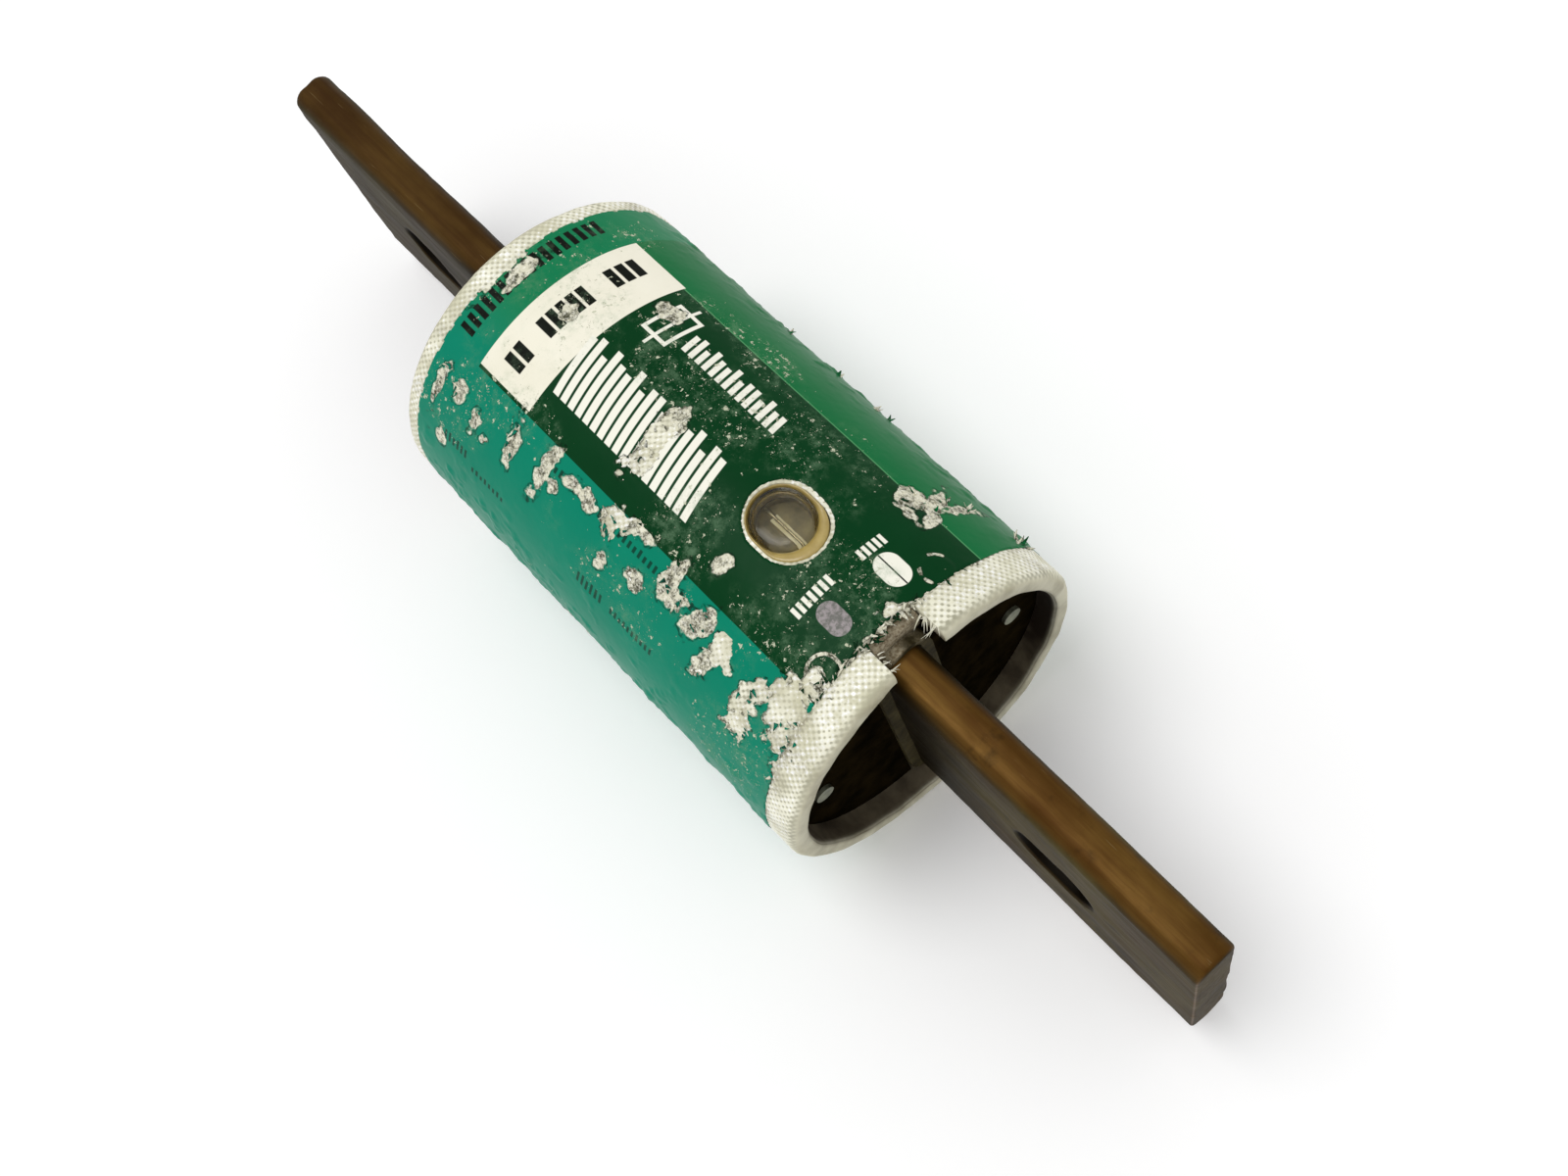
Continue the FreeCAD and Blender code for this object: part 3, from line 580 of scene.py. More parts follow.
def aged(name, dark, light, roughness, metallic=0.0, cell=2.0, depth=0.03, stretch=None, gloss=0.5):
    """A plain material with cloudy colour, a fine grain and a little relief."""
    paint = Surface(name, roughness=roughness, metallic=metallic, specular_ior_level=gloss)
    cloud = paint.noise(cell * 3, 4.0, 0.6, stretch=stretch)
    grain = paint.noise(cell * 0.3, 3.0, 0.6, stretch=stretch, seed=2.0)
    colour = paint.mix(cloud.ramp(0.3, 0.7), srgb(*dark), srgb(*light))
    speck = grain.ramp(0.62, 0.75) * 0.35
    paint.colour(paint.mix(speck, colour, srgb(*[value * 0.55 for value in dark])))
    paint.set("Roughness", cloud.ramp(0.3, 0.7, roughness - 0.08, roughness + 0.08))
    paint.bump(grain * 0.6 + cloud * 0.4, depth)
    return paint.material


def block_material():
    """Tarnished brass under dust, which lies thickest on the key and on the top of the collar."""
    paint = Surface("dusty_brass", roughness=0.7, specular_ior_level=0.1)
    _, _, height = paint.split(paint.place)
    cloud = paint.noise(3.0, 4.0, 0.6)
    grain = paint.noise(0.4, 3.0, 0.6, seed=2.0)
    metal = paint.mix(cloud.ramp(0.3, 0.7), srgb(40, 34, 16), srgb(76, 68, 40))
    dust = paint.mix(grain.ramp(0.3, 0.7), srgb(112, 98, 76), srgb(178, 168, 144))
    cover = (height * 0.12 + cloud).ramp(2.9, 3.35)
    colour = paint.mix(cover, metal, dust)
    paint.colour(paint.mix(grain.ramp(0.6, 0.72) * 0.5, colour, srgb(44, 34, 16)))
    paint.bump(grain * 0.6 + cloud * 0.6, 0.15)
    return paint.material


GRAIN_ALONG_X = (0.15, 1.0, 1.0)
CARRIED = {
    "block_brass": block_material(),
    "plug_brass": aged("turned_brass", (96, 80, 40), (146, 126, 74), 0.45, 0.7),
    "pin_steel": aged("plated_pin", (112, 108, 98), (158, 154, 142), 0.4, 0.8),
    "rivet_alloy": aged("dull_rivet", (92, 94, 78), (150, 152, 130), 0.45, 0.5, cell=0.6),
    "washer_fibre": aged("black_fibre", (9, 8, 4), (32, 25, 12), 0.85, cell=1.6, depth=0.06, gloss=0.0),
    "cup_plastic": aged("grey_cup", (104, 96, 74), (156, 146, 112), 0.5, cell=0.8),
    "strip_card": aged("pale_strip", (238, 232, 196), (252, 248, 224), 0.6, cell=0.6),
    "wire_bright": aged("bright_wire", (150, 142, 118), (206, 198, 170), 0.3, 0.8, cell=0.4),
    "lead_copper": aged("copper_lead", (128, 72, 40), (172, 104, 62), 0.4, 0.8, stretch=GRAIN_ALONG_X),
    "link_copper": aged("copper_link", (150, 84, 48), (190, 118, 76), 0.35, 0.9, stretch=GRAIN_ALONG_X),
    "plate_copper": aged("copper_plate", (140, 78, 44), (184, 112, 70), 0.4, 0.85),
    "absorber_copper": aged("copper_slug", (132, 76, 42), (176, 108, 66), 0.4, 0.85),
    "plunger_copper": aged("copper_plunger", (146, 86, 50), (192, 122, 78), 0.3, 0.9),
    "guide_brass": aged("brass_guide", (140, 116, 58), (184, 158, 92), 0.35, 0.85),
    "solder_alloy": aged("soft_solder", (120, 120, 116), (166, 166, 160), 0.45, 0.8, cell=0.8),
    "spring_steel": aged("spring_wire", (104, 104, 106), (150, 150, 152), 0.35, 0.9, cell=0.8),
    "chamber_card": aged("brown_board", (112, 86, 56), (156, 126, 86), 0.8, cell=1.4),
    "sleeve_card": aged("rolled_card", (128, 100, 66), (170, 140, 98), 0.8, cell=1.4),
    "seat_fibre": aged("red_fibre", (96, 30, 18), (136, 48, 30), 0.75, cell=1.2),
    "quartz_sand": aged("quartz_sand", (164, 154, 128), (216, 208, 184), 0.9, cell=0.5, depth=0.2),
}


def dress_carried_nodes():
    """Give each CAD node that stays in sight its material slot's finish."""
    slots = {part["node"]: part["material_slot"] for part in frame["record"]["subparts"]}
    for node, piece in frame["nodes"].items():
        finish = CARRIED.get(slots[node])
        if finish is None:
            continue
        if not piece.material_slots:
            piece.data.materials.append(finish)
        for place in piece.material_slots:
            place.material = finish


# ---------------------------------------------------------------- wear on the label

# where the label is torn away: X, angle, half length along X, half width across, turn in degrees
TORN = (
    (-3.3, -6.5, 1.3, 3.2, 6),
    (-3.0, -13.0, 1.5, 2.6, -8),
    (-0.6, -31.0, 2.4, 1.5, 20),
    (-0.8, -34.6, 1.0, 1.5, 0),
    (2.6, -27.8, 1.8, 0.9, 14),
    (28.4, -44.2, 1.6, 1.8, 0),
    (29.6, -37.4, 1.5, 2.0, 10),
    (28.8, -52.0, 1.9, 2.4, -20),
    (33.8, -33.0, 3.4, 4.2, 20),
    (35.0, -24.0, 2.2, 2.0, 0),
    (35.2, -41.5, 1.9, 3.2, 0),
    (37.2, -50.0, 0.9, 6.0, 0),
    (36.9, -13.0, 0.8, 3.2, 0),
    (22.0, -36.8, 1.6, 2.0, 30),
    (36.2, 8.0, 1.2, 1.6, 0),
    (-39.2, 1.0, 0.8, 4.6, 0),
    (37.4, 168.0, 1.6, 6.0, 0),
    (10.0, 128.0, 2.6, 1.6, 30),
    (-20.0, -110.0, 1.8, 3.0, 10),
)
# where only its skin is scraped off
SCUFFED = (
    (-3.4, 2.0, 1.5, 1.9, 0),
    (-17.6, 27.4, 1.9, 1.2, 10),
    (11.0, -31.4, 1.0, 2.6, -10),
    (12.8, -35.6, 1.3, 1.1, 0),
    (17.4, -36.6, 1.4, 2.6, -30),
    (20.8, -44.0, 1.2, 2.6, -30),
    (24.2, 38.9, 1.5, 1.7, 0),
    (26.9, 44.0, 0.8, 3.2, 25),
    (28.6, 51.5, 0.7, 2.8, -10),
    (-32.7, -38.5, 0.9, 1.0, 0),
    (-36.3, -35.6, 0.6, 0.9, 0),
    (-36.5, -44.0, 0.5, 2.0, 0),
    (-20.9, -37.4, 0.8, 2.5, 8),
    (-14.2, -36.0, 1.1, 3.0, -8),
    (-12.0, -38.2, 0.8, 0.7, 0),
    (-9.4, -33.2, 1.4, 0.7, 20),
    (-5.4, -33.6, 1.6, 1.0, -20),
    (4.6, -28.0, 0.9, 0.9, 0),
    (0.4, -45.4, 0.6, 0.7, 0),
    (6.0, -41.4, 1.0, 0.9, 0),
    (-27.9, -43.4, 0.6, 1.1, 0),
    (-33.4, -59.0, 0.8, 0.9, 0),
    (-25.8, -46.0, 0.5, 0.5, 0),
    (26.2, 33.0, 0.9, 0.5, 0),
    (15.6, -17.5, 0.7, 1.0, 0),
    (-36.6, 4.0, 0.9, 2.4, 0),
    (-26.6, 4.6, 0.7, 0.9, 0),
    (6.0, 96.0, 2.0, 3.0, 30),
    (-14.0, 140.0, 3.0, 1.2, 0),
    (22.0, 175.0, 1.6, 3.0, 0),
    (-6.0, -95.0, 3.2, 1.2, 12),
    (18.0, -130.0, 1.5, 2.4, 0),
    (-30.0, 100.0, 1.4, 2.2, 20),
)
# the patches with slivers of paper round them
FRAYED = TORN[:13] + SCUFFED[2:13]
# where it is rubbed and speckled: the same numbers, with soft edges
RUBBED = (
    (-28.0, 3.0, 9.0, 9.0, 0),
    (-8.0, 17.0, 14.0, 4.0, 10),
    (10.0, -16.0, 7.0, 4.5, 0),
    (26.0, -14.0, 9.0, 6.0, 0),
    (14.0, 27.0, 9.0, 5.0, 0),
    (2.0, 40.0, 16.0, 2.6, 0),
    (30.0, 2.0, 6.0, 6.0, 0),
    (14.0, -45.0, 16.0, 5.0, 10),
    (-32.0, -42.0, 7.0, 6.0, 0),
    (-18.0, -30.0, 9.0, 3.0, 0),
    (-35.0, 10.0, 3.5, 14.0, 0),
    (30.0, -60.0, 8.0, 8.0, 0),
    (0.0, 120.0, 25.0, 8.0, 0),
    (5.0, -120.0, 22.0, 9.0, 0),
)


def patch_distance(x, arc, patches):
    """The distance from the nearest patch's edge, below 0 inside it."""
    nearest = np.full(x.shape, 1e3)
    for centre, angle, length, width, turn in patches:
        along, across = x - centre, arc - angle * DEGREE
        c, s = math.cos(math.radians(turn)), math.sin(math.radians(turn))
        span = np.hypot((c * along + s * across) / length, (c * across - s * along) / width)
        nearest = np.minimum(nearest, (span - 1) * min(length, width))
    return nearest


def obround_distance(x, arc, centre_x, centre_arc, length, width):
    radius, reach = width / 2, (length - width) / 2
    along = np.maximum(np.abs(x - centre_x) - reach, 0)
    return np.hypot(along, arc - centre_arc) - radius


def weave(x, arc, repeat=1.1):
    """Plain-woven cloth: 1 on top of each crossing, 0 between them, in staggered rows."""
    turns = round(2 * math.pi * TUBE_R / repeat)
    across = arc / TUBE_R * turns
    return (0.5 + 0.5 * np.cos(2 * math.pi * x / repeat) * np.cos(across)) ** 0.85


# ---------------------------------------------------------------- the tube


def tube_profile():
    """X and radius round the tube's wall, lengthwise: outside, near end, bore, far end."""
    outer_round, inner_round, arc_points = 1.25, 0.7, 7
    quarter = np.linspace(math.pi / 2, 0, arc_points)
    outside_end = HALF_TUBE - outer_round
    fine, coarse = 0.18, 0.36
    bands = [
        np.arange(-outside_end, LABEL_FAR, fine),
        np.arange(LABEL_FAR, LABEL_NEAR, coarse),
        np.arange(LABEL_NEAR, outside_end, fine),
    ]
    out_x = np.concatenate(bands)
    outside = np.stack([out_x, np.full_like(out_x, TUBE_R)], axis=-1)
    lip = np.stack(
        [
            outside_end + outer_round * np.cos(quarter),
            TUBE_R - outer_round + outer_round * np.sin(quarter),
        ],
        axis=-1,
    )
    inner_end = HALF_TUBE - inner_round
    turn_in = np.stack(
        [
            inner_end + inner_round * np.cos(quarter[::-1]),
            BORE_R + inner_round - inner_round * np.sin(quarter[::-1]),
        ],
        axis=-1,
    )
    recess = np.linspace(inner_end - 0.4, washer_high[0] - 1, 14)
    half_bore = np.stack([recess, np.full_like(recess, BORE_R)], axis=-1)
    near = np.concatenate([lip, turn_in, half_bore])
    far = near[::-1] * (-1, 1)
    return np.concatenate([outside, near, far])


def turned(points):
    """Points turned about the fuse's axis with the notch, from +Z towards +Y."""
    c, s = math.cos(math.radians(TUBE_TURN)), math.sin(math.radians(TUBE_TURN))
    x, y, z = np.moveaxis(np.asarray(points, dtype=float), -1, 0)
    return np.stack([x, y * c + z * s, z * c - y * s], axis=-1)


def prism(name, outline, low, high):
    """A closed upright shape over an outline in X and Y, turned with the tube."""
    rings = [[(x, y, z) for x, y in outline] for z in (low, high)]
    return loft(name, turned(rings))


def build_tube():
    profile = tube_profile()
    columns = 760
    angles = np.linspace(0, 2 * math.pi, columns, endpoint=False)
    points = on_tube(profile[:, :1], angles[None, :], profile[:, 1:])
    faces = grid_faces(len(profile), columns, close_rows=True, close_columns=True)
    tube = new_piece("laminate_tube", points.reshape(-1, 3), faces.tolist())

    half = NOTCH_WIDTH / 2
    corners = [(NOTCH_FLOOR, -half), (HALF_TUBE + 2, -half), (HALF_TUBE + 2, half), (NOTCH_FLOOR, half)]
    below, above = 16, TUBE_R + 4
    notch = prism("notch", corners, below, above)
    hole = obround(LENS_LENGTH + 0.2, LENS_WIDTH + 0.2)
    window = prism("window_hole", hole + (WINDOW_X, 0.5), below, above)
    carve(tube, [notch, window])

    mesh = tube.data
    points = read_points(mesh)
    x, y, z = points.T
    radius, angle = np.hypot(y, z), np.arctan2(y, z)
    arc = angle * TUBE_R
    outer = ramp(radius, TUBE_R - 1.3, TUBE_R - 0.2)
    seat = ramp(x, LABEL_FAR - 0.2, LABEL_FAR + 0.2) * ramp(x, LABEL_NEAR + 0.2, LABEL_NEAR - 0.2)
    uneven = fractal(points, 2.4, 16, 2)
    threads = weave(x + uneven * 0.08, arc + fractal(points, 3.1, 17, 2) * 0.1)
    threads = threads * (1 + uneven * 0.45)
    lumps = fractal(points, 7.0, 11) * 0.12 + fractal(points, 1.6, 12, 2) * 0.05
    on_end = ramp(np.abs(x), HALF_TUBE - 1.6, HALF_TUBE - 0.3)
    rise = outer * (threads * 0.12 * (1 - on_end * 0.85) - 0.09 - 0.2 * seat)
    rise += lumps * (1 - 0.6 * seat) * outer
    shift = np.sign(x) * on_end * (fractal(points, 5.0, 13) * 0.16 - 0.06)
    flank = ramp(np.abs(y - 0.05 * z), 1, 2) * ramp(x, 36.6, 38) * ramp(z, 20, 22)
    frayed = fractal(points, 1.1, 14, 2) * 0.12 * flank
    scale = 1 + (rise + frayed) / radius
    write_points(mesh, np.stack([x + shift, y * scale, z * scale], axis=-1))

    normals = read_vectors(mesh, "normal")
    outward = np.abs(np.sum(normals[:, 1:] * np.stack([y, z], axis=-1), axis=1) / radius)
    bore = ramp(radius, BORE_R + 0.25, BORE_R + 0.05) * ramp(np.abs(x), HALF_TUBE, HALF_TUBE - 0.9)
    notch_wall = (radius < TUBE_R - 0.5) * (radius > BORE_R + 0.1) * (np.abs(x) < HALF_TUBE - 0.2)
    store(mesh, "weave", threads * outer * (1 - on_end * 0.6) + (1 - outer) * 0.55)
    store(mesh, "stained", ramp(angle, 0.2, 1.2) * ramp(angle, 2.6, 1.8))
    store(mesh, "cut", on_end * ramp(outward, 0.9, 0.5))
    store(mesh, "inside", np.maximum(bore, notch_wall * ramp(outward, 0.9, 0.6)))
    band_edge = np.exp(-((np.abs(x) - LABEL_NEAR) / 0.8) ** 2)
    store(mesh, "grime", np.clip(band_edge * 0.6 + fractal(points, 4.0, 15) * 0.5, 0, 1))
    mesh.materials.clear()
    mesh.materials.append(cloth)
    mesh.shade_smooth()
    finish_piece(tube, "fuse_tube")


# ---------------------------------------------------------------- the label


def build_label():
    step, overlap = 0.25, 3.4
    x = np.arange(LABEL_FAR, LABEL_NEAR + step, step)[:, None]
    half_turn = math.pi * TUBE_R
    arc = np.arange(-half_turn - overlap, half_turn + step, step)[None, :]
    x, arc = np.broadcast_arrays(x, arc)
    around = on_tube(x, arc / TUBE_R, TUBE_R)
    jag = fractal(around, 1.5, 21, 4)

    ragged = fractal(around, 2.6, 28, 2) * 0.7 + fractal(around, 1.0, 29, 3) * 0.75
    torn = patch_distance(x, arc, TORN) + ragged
    edge = np.minimum(LABEL_NEAR - 0.05 - x, x - LABEL_FAR - 0.05) + jag * 0.16 + 0.1
    turn = TUBE_TURN * DEGREE
    window = obround_distance(x, arc, WINDOW_X, turn + 0.6, LENS_LENGTH + 0.9, LENS_WIDTH + 1.3)
    window += jag * 0.07
    notch = np.maximum(NOTCH_FLOOR - 0.1 - x, np.abs(arc - turn) - NOTCH_WIDTH / 2 - 0.2) + jag * 0.2
    kept = np.minimum.reduce([torn, edge, window, notch])

    # points just outside the kept paper move onto its edge and drop, so that the edge has a wall
    slope = np.stack(np.gradient(kept, step), axis=-1)
    steep = np.maximum((slope**2).sum(axis=-1), 0.2)
    outside = kept < 0
    pull = np.where(outside, np.clip(-kept, 0, step * 1.4), 0) / steep
    x = x + pull * slope[..., 0]
    arc = arc + pull * slope[..., 1]

    scuff = np.exp(-np.maximum(patch_distance(x, arc, SCUFFED) + ragged * 0.7, 0) * 2.6)
    near_tear = np.exp(-np.maximum(torn, 0) * 2.6) * 0.85
    cracks = pin_cracks(x, arc) * ramp(fractal(around, 2.2, 27, 2), -0.25, 0.15)
    rubbed = np.exp(-np.maximum(patch_distance(x, arc, RUBBED), 0) / 2.5)
    wear = np.clip(rubbed * 0.75 + 0.08 + fractal(around, 7.0, 23) * 0.4, 0, 1)

    lift = np.exp(-np.maximum(torn, 0) * 3.0) * np.maximum(fractal(around, 1.8, 24, 2), 0) * 0.5
    loose = ramp(np.abs(arc), 50 * DEGREE, 75 * DEGREE)
    bumps = fractal(around, 9.0, 25, 2) * 0.05 + fractal(around, 0.9, 26, 2) * 0.012
    bumps += loose * np.maximum(fractal(around, 2.6, 30, 3), 0) * 0.3
    radius = TUBE_R - 0.02 + lift + bumps
    radius -= 0.1 * ramp(scuff, 0.3, 0.7) * (1 + jag * 0.8)
    radius += pin_bumps(x, arc)
    radius += 0.17 * ramp(arc, -half_turn + 0.4, -half_turn - 0.4)
    radius = np.where(outside, radius - 0.3, radius)

    faces = grid_faces(*kept.shape)
    corners = kept.ravel()[faces]
    faces = faces[(corners > -step * 1.05).all(axis=1) & (corners >= 0).any(axis=1)]
    used, compact = np.unique(faces, return_inverse=True)
    points = on_tube(x, arc / TUBE_R, radius).reshape(-1, 3)[used]
    label = new_piece("printed_label", points, compact.reshape(-1, 4).tolist(), label_paint)
    place = np.stack([x, arc, np.zeros_like(x)], axis=-1).reshape(-1, 3)[used]
    store(label.data, "place", place)
    bare = np.maximum.reduce([scuff, near_tear * ramp(jag, -0.4, 0.4), cracks])
    store(label.data, "scuff", bare.ravel()[used])
    store(label.data, "wear", wear.ravel()[used])
    finish_piece(label, "wrap_label")


def pin_distance(x, arc):
    """The distance from the axis of the nearest pin."""
    whole = 2 * math.pi * TUBE_R
    nearest = np.full(x.shape, 1e3)
    for side, sign, end in itertools.product((0, 180), (-1, 1), (-1, 1)):
        centre = (side + TUBE_TURN + sign * PIN_SPREAD) * DEGREE
        gap = (arc - centre + whole / 2) % whole - whole / 2
        nearest = np.minimum(nearest, np.hypot(x - end * PIN_X, gap))
    return nearest


def pin_bumps(x, arc):
    """The label bulges over the heads of the pins."""
    return 0.1 * ramp(pin_distance(x, arc), 2.5, 1.9)


def pin_cracks(x, arc):
    """The label has cracked in a ring round each pin of the near end."""
    return np.exp(-(((pin_distance(x, arc) - 2.3) / 0.28) ** 2)) * (x > 0)


def slivers(name, roots, seed, thickness=0.08):
    """Thin torn strips that stand up from the tube, each from a root to a pointed tip.

    A root is x, angle in degrees, heading in degrees from +X, length, width, and the rise of the tip.
    """
    draw = np.random.default_rng(seed)
    share = np.linspace(0, 1, 7)
    quads = grid_faces(len(share), 4, close_columns=True).tolist()
    last = len(share) * 4 - 4
    quads += [[3, 2, 1, 0], [last, last + 1, last + 2, last + 3]]
    points, faces, places = [], [], []
    for number, (x, angle, heading, length, width, rise) in enumerate(roots):
        turn = math.radians(heading) + draw.normal(0, 0.7) * share
        along = x + np.cumsum(np.cos(turn)) * length / len(share)
        arc = angle * DEGREE + np.cumsum(np.sin(turn)) * length / len(share)
        half = width / 2 * (1 - 0.85 * share)
        radius = TUBE_R - 0.1 + rise * share**1.5
        for side, level in ((-1, -1), (1, -1), (1, 1), (-1, 1)):
            place = (along - side * half * np.sin(turn), arc + side * half * np.cos(turn))
            points.append(on_tube(place[0], place[1] / TUBE_R, radius + level * thickness / 2))
            places.append(np.stack([place[0], place[1], np.zeros_like(arc)], axis=-1))
        faces += [[corner + number * len(share) * 4 for corner in quad] for quad in quads]

    def in_rings(rows):
        return np.asarray(rows).reshape(len(roots), 4, len(share), 3).transpose(0, 2, 1, 3).reshape(-1, 3)

    piece = new_piece(name, in_rings(points), faces)
    face_outwards(piece.data)
    return piece, in_rings(places)


def scattered(draw, count, x, angle, heading, length, width, rise):
    """Roots of slivers with each number drawn between its two limits."""
    limits = np.array([x, angle, heading, length, width, rise], dtype=float)
    return (limits[:, 0] + draw.random((count, 6)) * (limits[:, 1] - limits[:, 0])).tolist()


def build_shreds():
    """Torn paper round the notch and the bare patches, and loose threads at the notch's corners."""
    draw = np.random.default_rng(5)
    roots = scattered(draw, 34, (35.6, 36.6), (-7, 13), (-70, 70), (0.7, 2.2), (0.3, 0.8), (0.1, 0.9))
    roots += scattered(draw, 26, (35.9, 36.9), (-30, -6), (60, 200), (0.8, 2.0), (0.3, 0.7), (0.1, 0.8))
    roots += scattered(draw, 14, (36.2, 36.8), (12, 40), (-90, 90), (0.5, 1.2), (0.2, 0.5), (0.1, 0.4))
    roots += scattered(draw, 9, (35.2, 36.6), (60, 68), (0, 180), (1.2, 2.4), (0.5, 1.0), (0.5, 1.3))
    for centre, angle, length, width, _ in FRAYED:
        for turn in draw.random(6) * 2 * math.pi:
            root = centre + length * 0.8 * math.cos(turn), angle + width * 0.8 * math.sin(turn) / DEGREE
            size = draw.random(3)
            heading = math.degrees(turn) + 90 + draw.normal(0, 50)
            roots.append((*root, heading, 0.5 + size[0] * 1.1, 0.25 + size[1] * 0.5, 0.1 + size[2] * 0.5))
    for x in (-11.0, -0.9, 6.6, 9.2):
        where = (x - 0.4, x + 0.4), (70, 73), (60, 120)
        roots += scattered(draw, 2, *where, (0.8, 1.4), (0.6, 1.1), (0.6, 0.9))
    paper, places = slivers("paper_shreds", roots, 6)
    mesh = paper.data
    mesh.materials.append(label_paint)
    store(mesh, "place", places)
    pale = np.repeat(draw.random(len(roots)) < 0.6, len(places) // len(roots))
    store(mesh, "scuff", np.where(pale, 1.0, 0.28))
    store(mesh, "wear", pale * 0.4)
    finish_piece(paper, "wrap_label")

    corner = math.degrees(NOTCH_WIDTH / 2 / TUBE_R)
    where = (38.2, 41.2), (corner + 2.6, corner + 3.6), (-100, -20)
    roots = scattered(draw, 12, *where, (0.8, 2.1), (0.12, 0.4), (-1.4, 0.1))
    where = (38.2, 41.4), (2.6 - corner, 3.4 - corner), (40, 110)
    roots += scattered(draw, 7, *where, (0.6, 1.4), (0.1, 0.3), (-0.9, 0.1))
    threads, _ = slivers("loose_threads", roots, 7)
    threads.data.materials.append(cloth)
    for name, value in (("weave", 0.7), ("cut", 0.3), ("inside", 0.0), ("grime", 0.2), ("stained", 0.0)):
        store(threads.data, name, np.full(len(threads.data.vertices), value))
    finish_piece(threads, "fuse_tube")


# ---------------------------------------------------------------- the window


def build_window():
    """A low clear dome inside a seal that slopes down to it, deepest at the near end."""
    foot, top = lens_low[2] + 0.1, lens_high[2]
    middle_y = (lens_high[1] + lens_low[1]) / 2 - top * math.sin(math.radians(TUBE_TURN))
    narrower, thinner, back = 2.2, 0.9, -0.8

    def outline(shrink_length, shrink_width, shift, height):
        flat = obround(LENS_LENGTH - shrink_length, LENS_WIDTH - shrink_width)
        return [(x, y, height) for x, y in flat + (WINDOW_X + shift, middle_y)]

    # the height of each ring, and how much narrower it is than the foot
    dome = (
        (foot, 0.0),
        (top - 1.0, 0.0),
        (top - 0.55, 0.2),
        (top - 0.25, 0.7),
        (top - 0.1, 1.5),
        (top - 0.04, 2.7),
        (top - 0.02, 4.2),
    )
    wall = 0.5
    inner = [(max(height - wall, foot), shrink + wall * 2) for height, shrink in dome[:0:-1]]
    rings = [
        outline(narrower + shrink, thinner + shrink, back, height)
        for height, shrink in [*inner, (foot, wall * 2), *dome]
    ]
    lens = loft("window_lens", turned(rings), lens_material())
    finish_piece(lens, "window_lens")

    rings = [
        outline(0, 0, 0, foot),
        outline(0, 0, 0, top - 0.5),
        outline(0.3, 0.3, 0, top - 0.35),
        outline(narrower - 0.3, thinner - 0.3, back, top - 0.8),
        outline(narrower - 0.1, thinner - 0.1, back, top - 0.9),
        outline(narrower - 0.1, thinner - 0.1, back, foot),
    ]
    size = len(rings[0])
    faces = grid_faces(len(rings), size, close_rows=True, close_columns=True)
    seal = new_piece("window_seal", turned(rings).reshape(-1, 3), faces.tolist(), amber_material())
    face_outwards(seal.data)
    finish_piece(seal, "window_gasket")


# ---------------------------------------------------------------- the blades


def blade_section(half_thick, half_wide, corner, steps=7):
    """Y and Z round the bar: flat faces, round corners, points close enough to bend."""
    turn = np.linspace(0, math.pi / 2, steps)
    up = np.linspace(-(half_wide - corner), half_wide - corner, 40)
    right = [(half_thick, z) for z in up]
    top_right = [
        (half_thick - corner + corner * math.cos(a), half_wide - corner + corner * math.sin(a))
        for a in turn[1:-1]
    ]
    across = np.linspace(half_thick - corner, corner - half_thick, 4)
    top = [(y, half_wide) for y in across]
    top_left = [(-y, z) for y, z in top_right[::-1]]
    half = right + top_right + top + top_left
    return np.array(half + [(-y, -z) for y, z in half])


# how much darker the whole far blade is painted than the near one
FAR_BLADE_DARKENING = 0.4


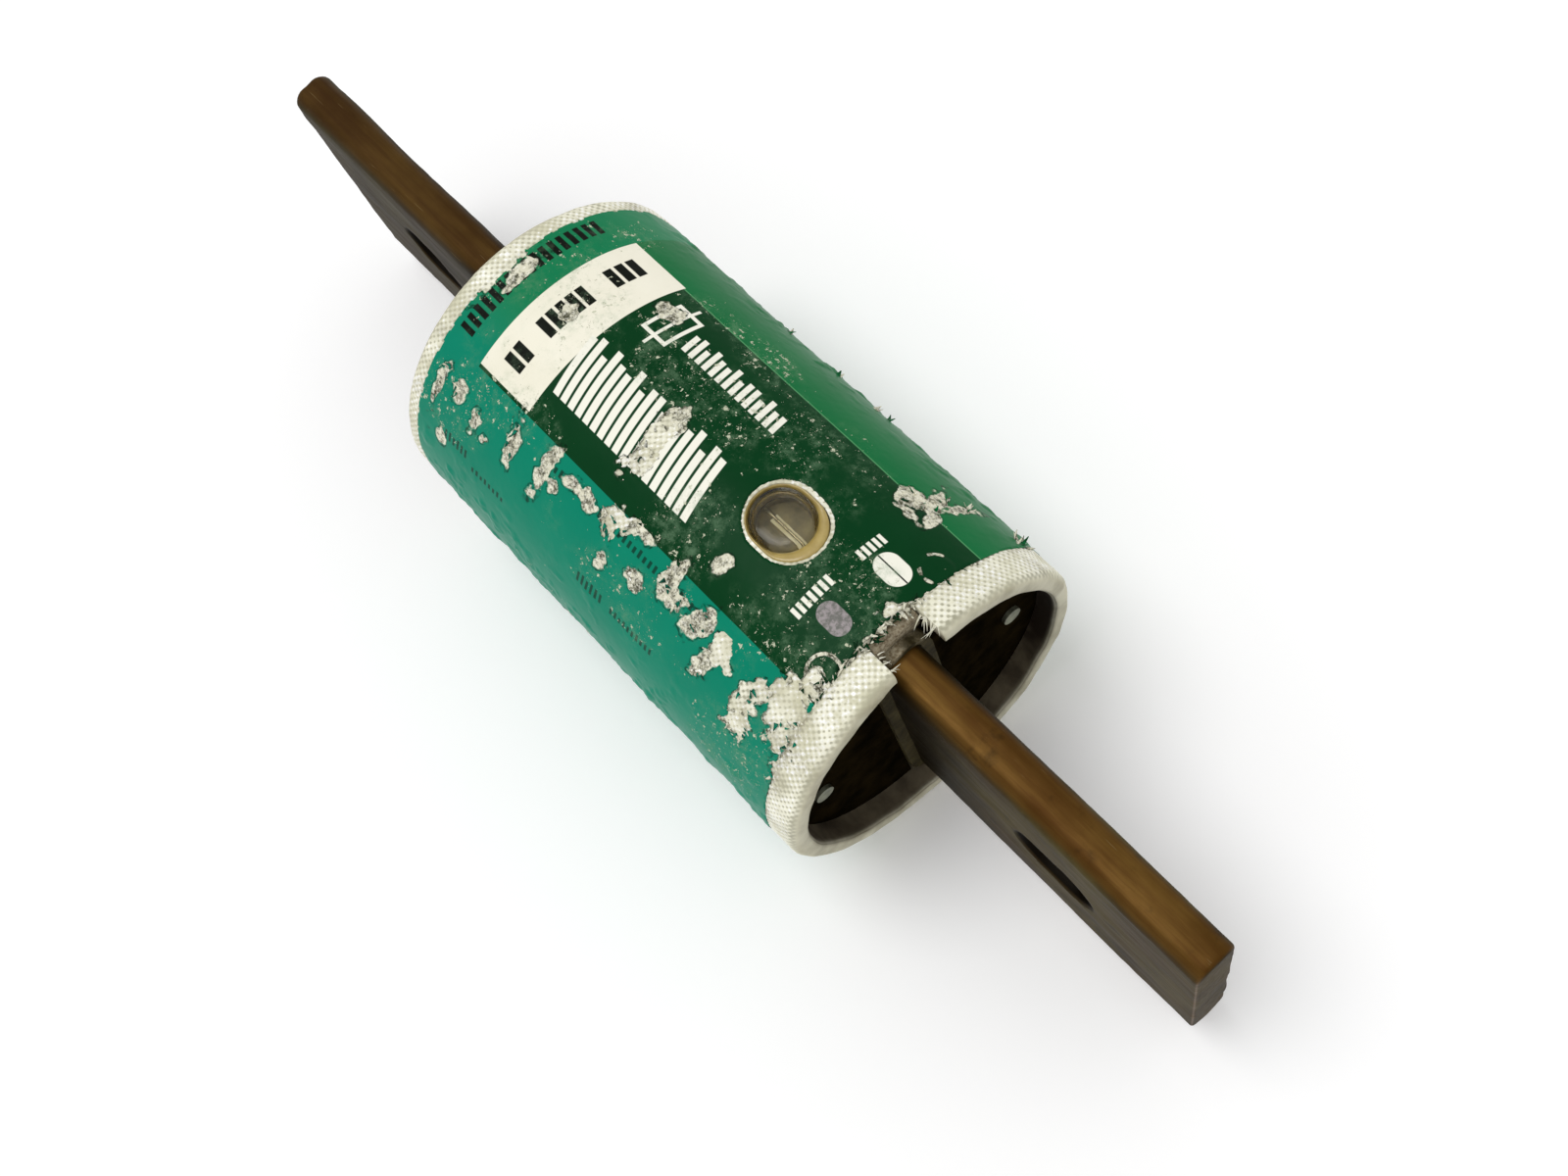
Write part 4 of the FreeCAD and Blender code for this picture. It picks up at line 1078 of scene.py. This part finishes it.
def build_blade(name, sign):
    low, high = box_mm(name)
    root, tip = sorted((low[0], high[0]), key=abs)
    half_thick, half_wide = high[1], high[2]
    corner, tip_round = 2.2, 0.55
    turn = np.linspace(0, math.pi / 2, 5)[1:]
    rings = [(along, 0.0) for along in np.linspace(abs(root), abs(tip) - tip_round, 84)]
    rings += [
        (abs(tip) - tip_round + tip_round * math.sin(a), tip_round * (1 - math.cos(a)))
        for a in turn
    ]
    layers = []
    for along, shrink in rings:
        section = blade_section(half_thick - shrink, half_wide - shrink, corner - shrink * 0.6)
        layers.append([(along * sign, y, z) for y, z in section])
    blade = loft("bar_" + name, layers if sign > 0 else [ring[::-1] for ring in layers])

    slot_x = sign * SLOT_SPACING / 2
    rim, past = 0.35, 0.5
    inner, outer = half_thick - rim, half_thick + past
    cutter_rings = []
    for y, grow in ((-outer, rim + past), (-inner, 0), (inner, 0), (outer, rim + past)):
        outline = obround(SLOT_LENGTH + grow * 2, SLOT_WIDTH + grow * 2, 20)
        cutter_rings.append([(slot_x + x, y, z) for x, z in outline])
    slot = loft("slot", [ring[::-1] for ring in cutter_rings])
    carve(blade, [slot])

    mesh = blade.data
    points = read_points(mesh)
    normals = read_vectors(mesh, "normal")
    dents = fractal(points * (0.4, 1, 1), 6.0, 31 + (sign > 0)) * 0.12 + fractal(points, 1.5, 33, 2) * 0.03
    write_points(mesh, points + normals * dents[:, None])
    x, y, z = points.T
    # painted shade: the slot's walls and the broad faces next to the tube end are marked to be painted
    # dark
    in_slot = ramp(obround_distance(x, z, slot_x, 0, SLOT_LENGTH, SLOT_WIDTH), 0.45, 0.25)
    near_root = ramp(np.abs(x), HALF_TUBE + 16, HALF_TUBE) * ramp(np.abs(normals[:, 1]), 0.3, 0.8)
    # the flat mask marks the broad faces and the tip, which the copper material paints darker as shade
    store(mesh, "flat", ramp(np.maximum(np.abs(normals[:, 1]), np.abs(normals[:, 0])), 0.6, 0.98))
    slot_and_root_shade = np.maximum(in_slot, near_root * 0.85)
    store(mesh, "shade_and_darkening", np.maximum(slot_and_root_shade, 0.0 if sign > 0 else FAR_BLADE_DARKENING))
    mesh.materials.clear()
    mesh.materials.append(patina)
    mesh.shade_smooth()
    finish_piece(blade, name)


# ---------------------------------------------------------------- floor, lights and camera


def build_stage():
    bpy.ops.mesh.primitive_plane_add(size=12.0, location=(0, 0, tube_low[2] * MM))
    floor = bpy.context.object
    floor.name = "floor"
    paint = Surface("pale_floor", roughness=0.9)
    paint.colour(srgb(252, 252, 252))
    paint.set("Emission Color", (1.0, 1.0, 1.0, 1.0))
    paint.set("Emission Strength", 0.06)
    floor.data.materials.append(paint.material)


def build_lights():
    data = bpy.data.lights.new("key", "SUN")
    data.energy = 1.2
    data.angle = math.radians(35)
    key = bpy.data.objects.new("key", data)
    key.rotation_euler = Vector((0.25, 0.2, -1.0)).to_track_quat("-Z", "Y").to_euler()
    bpy.context.scene.collection.objects.link(key)
    world = bpy.data.worlds.new("pale_room")
    bpy.context.scene.world = world
    world.use_nodes = True
    backdrop = world.node_tree.nodes["Background"]
    backdrop.inputs["Color"].default_value = (1.0, 1.0, 1.0, 1.0)
    backdrop.inputs["Strength"].default_value = 0.68


def build_camera():
    data = bpy.data.cameras.new("camera")
    data.lens = 41.19
    data.sensor_width = 36.0
    place = Vector((108.158, -27.618, 226.571)) * MM
    aim = Vector((13.346, -1.526, 0.0)) * MM
    roll = math.radians(28.861)
    camera = bpy.data.objects.new("camera", data)
    look = (aim - place).to_track_quat("-Z", "Y").to_matrix()
    camera.matrix_world = Matrix.Translation(place) @ (look @ Matrix.Rotation(-roll, 3, "Z")).to_4x4()
    bpy.context.scene.collection.objects.link(camera)
    bpy.context.scene.camera = camera


# ---------------------------------------------------------------- assembly

bpy.context.scene.view_settings.view_transform = "Standard"
build_camera()
cloth, label_paint = cloth_material(), label_material()
build_tube()
build_label()
build_shreds()
build_window()
patina = patina_material()
build_blade("near_blade", 1)
build_blade("far_blade", -1)
dress_carried_nodes()
build_stage()
build_lights()
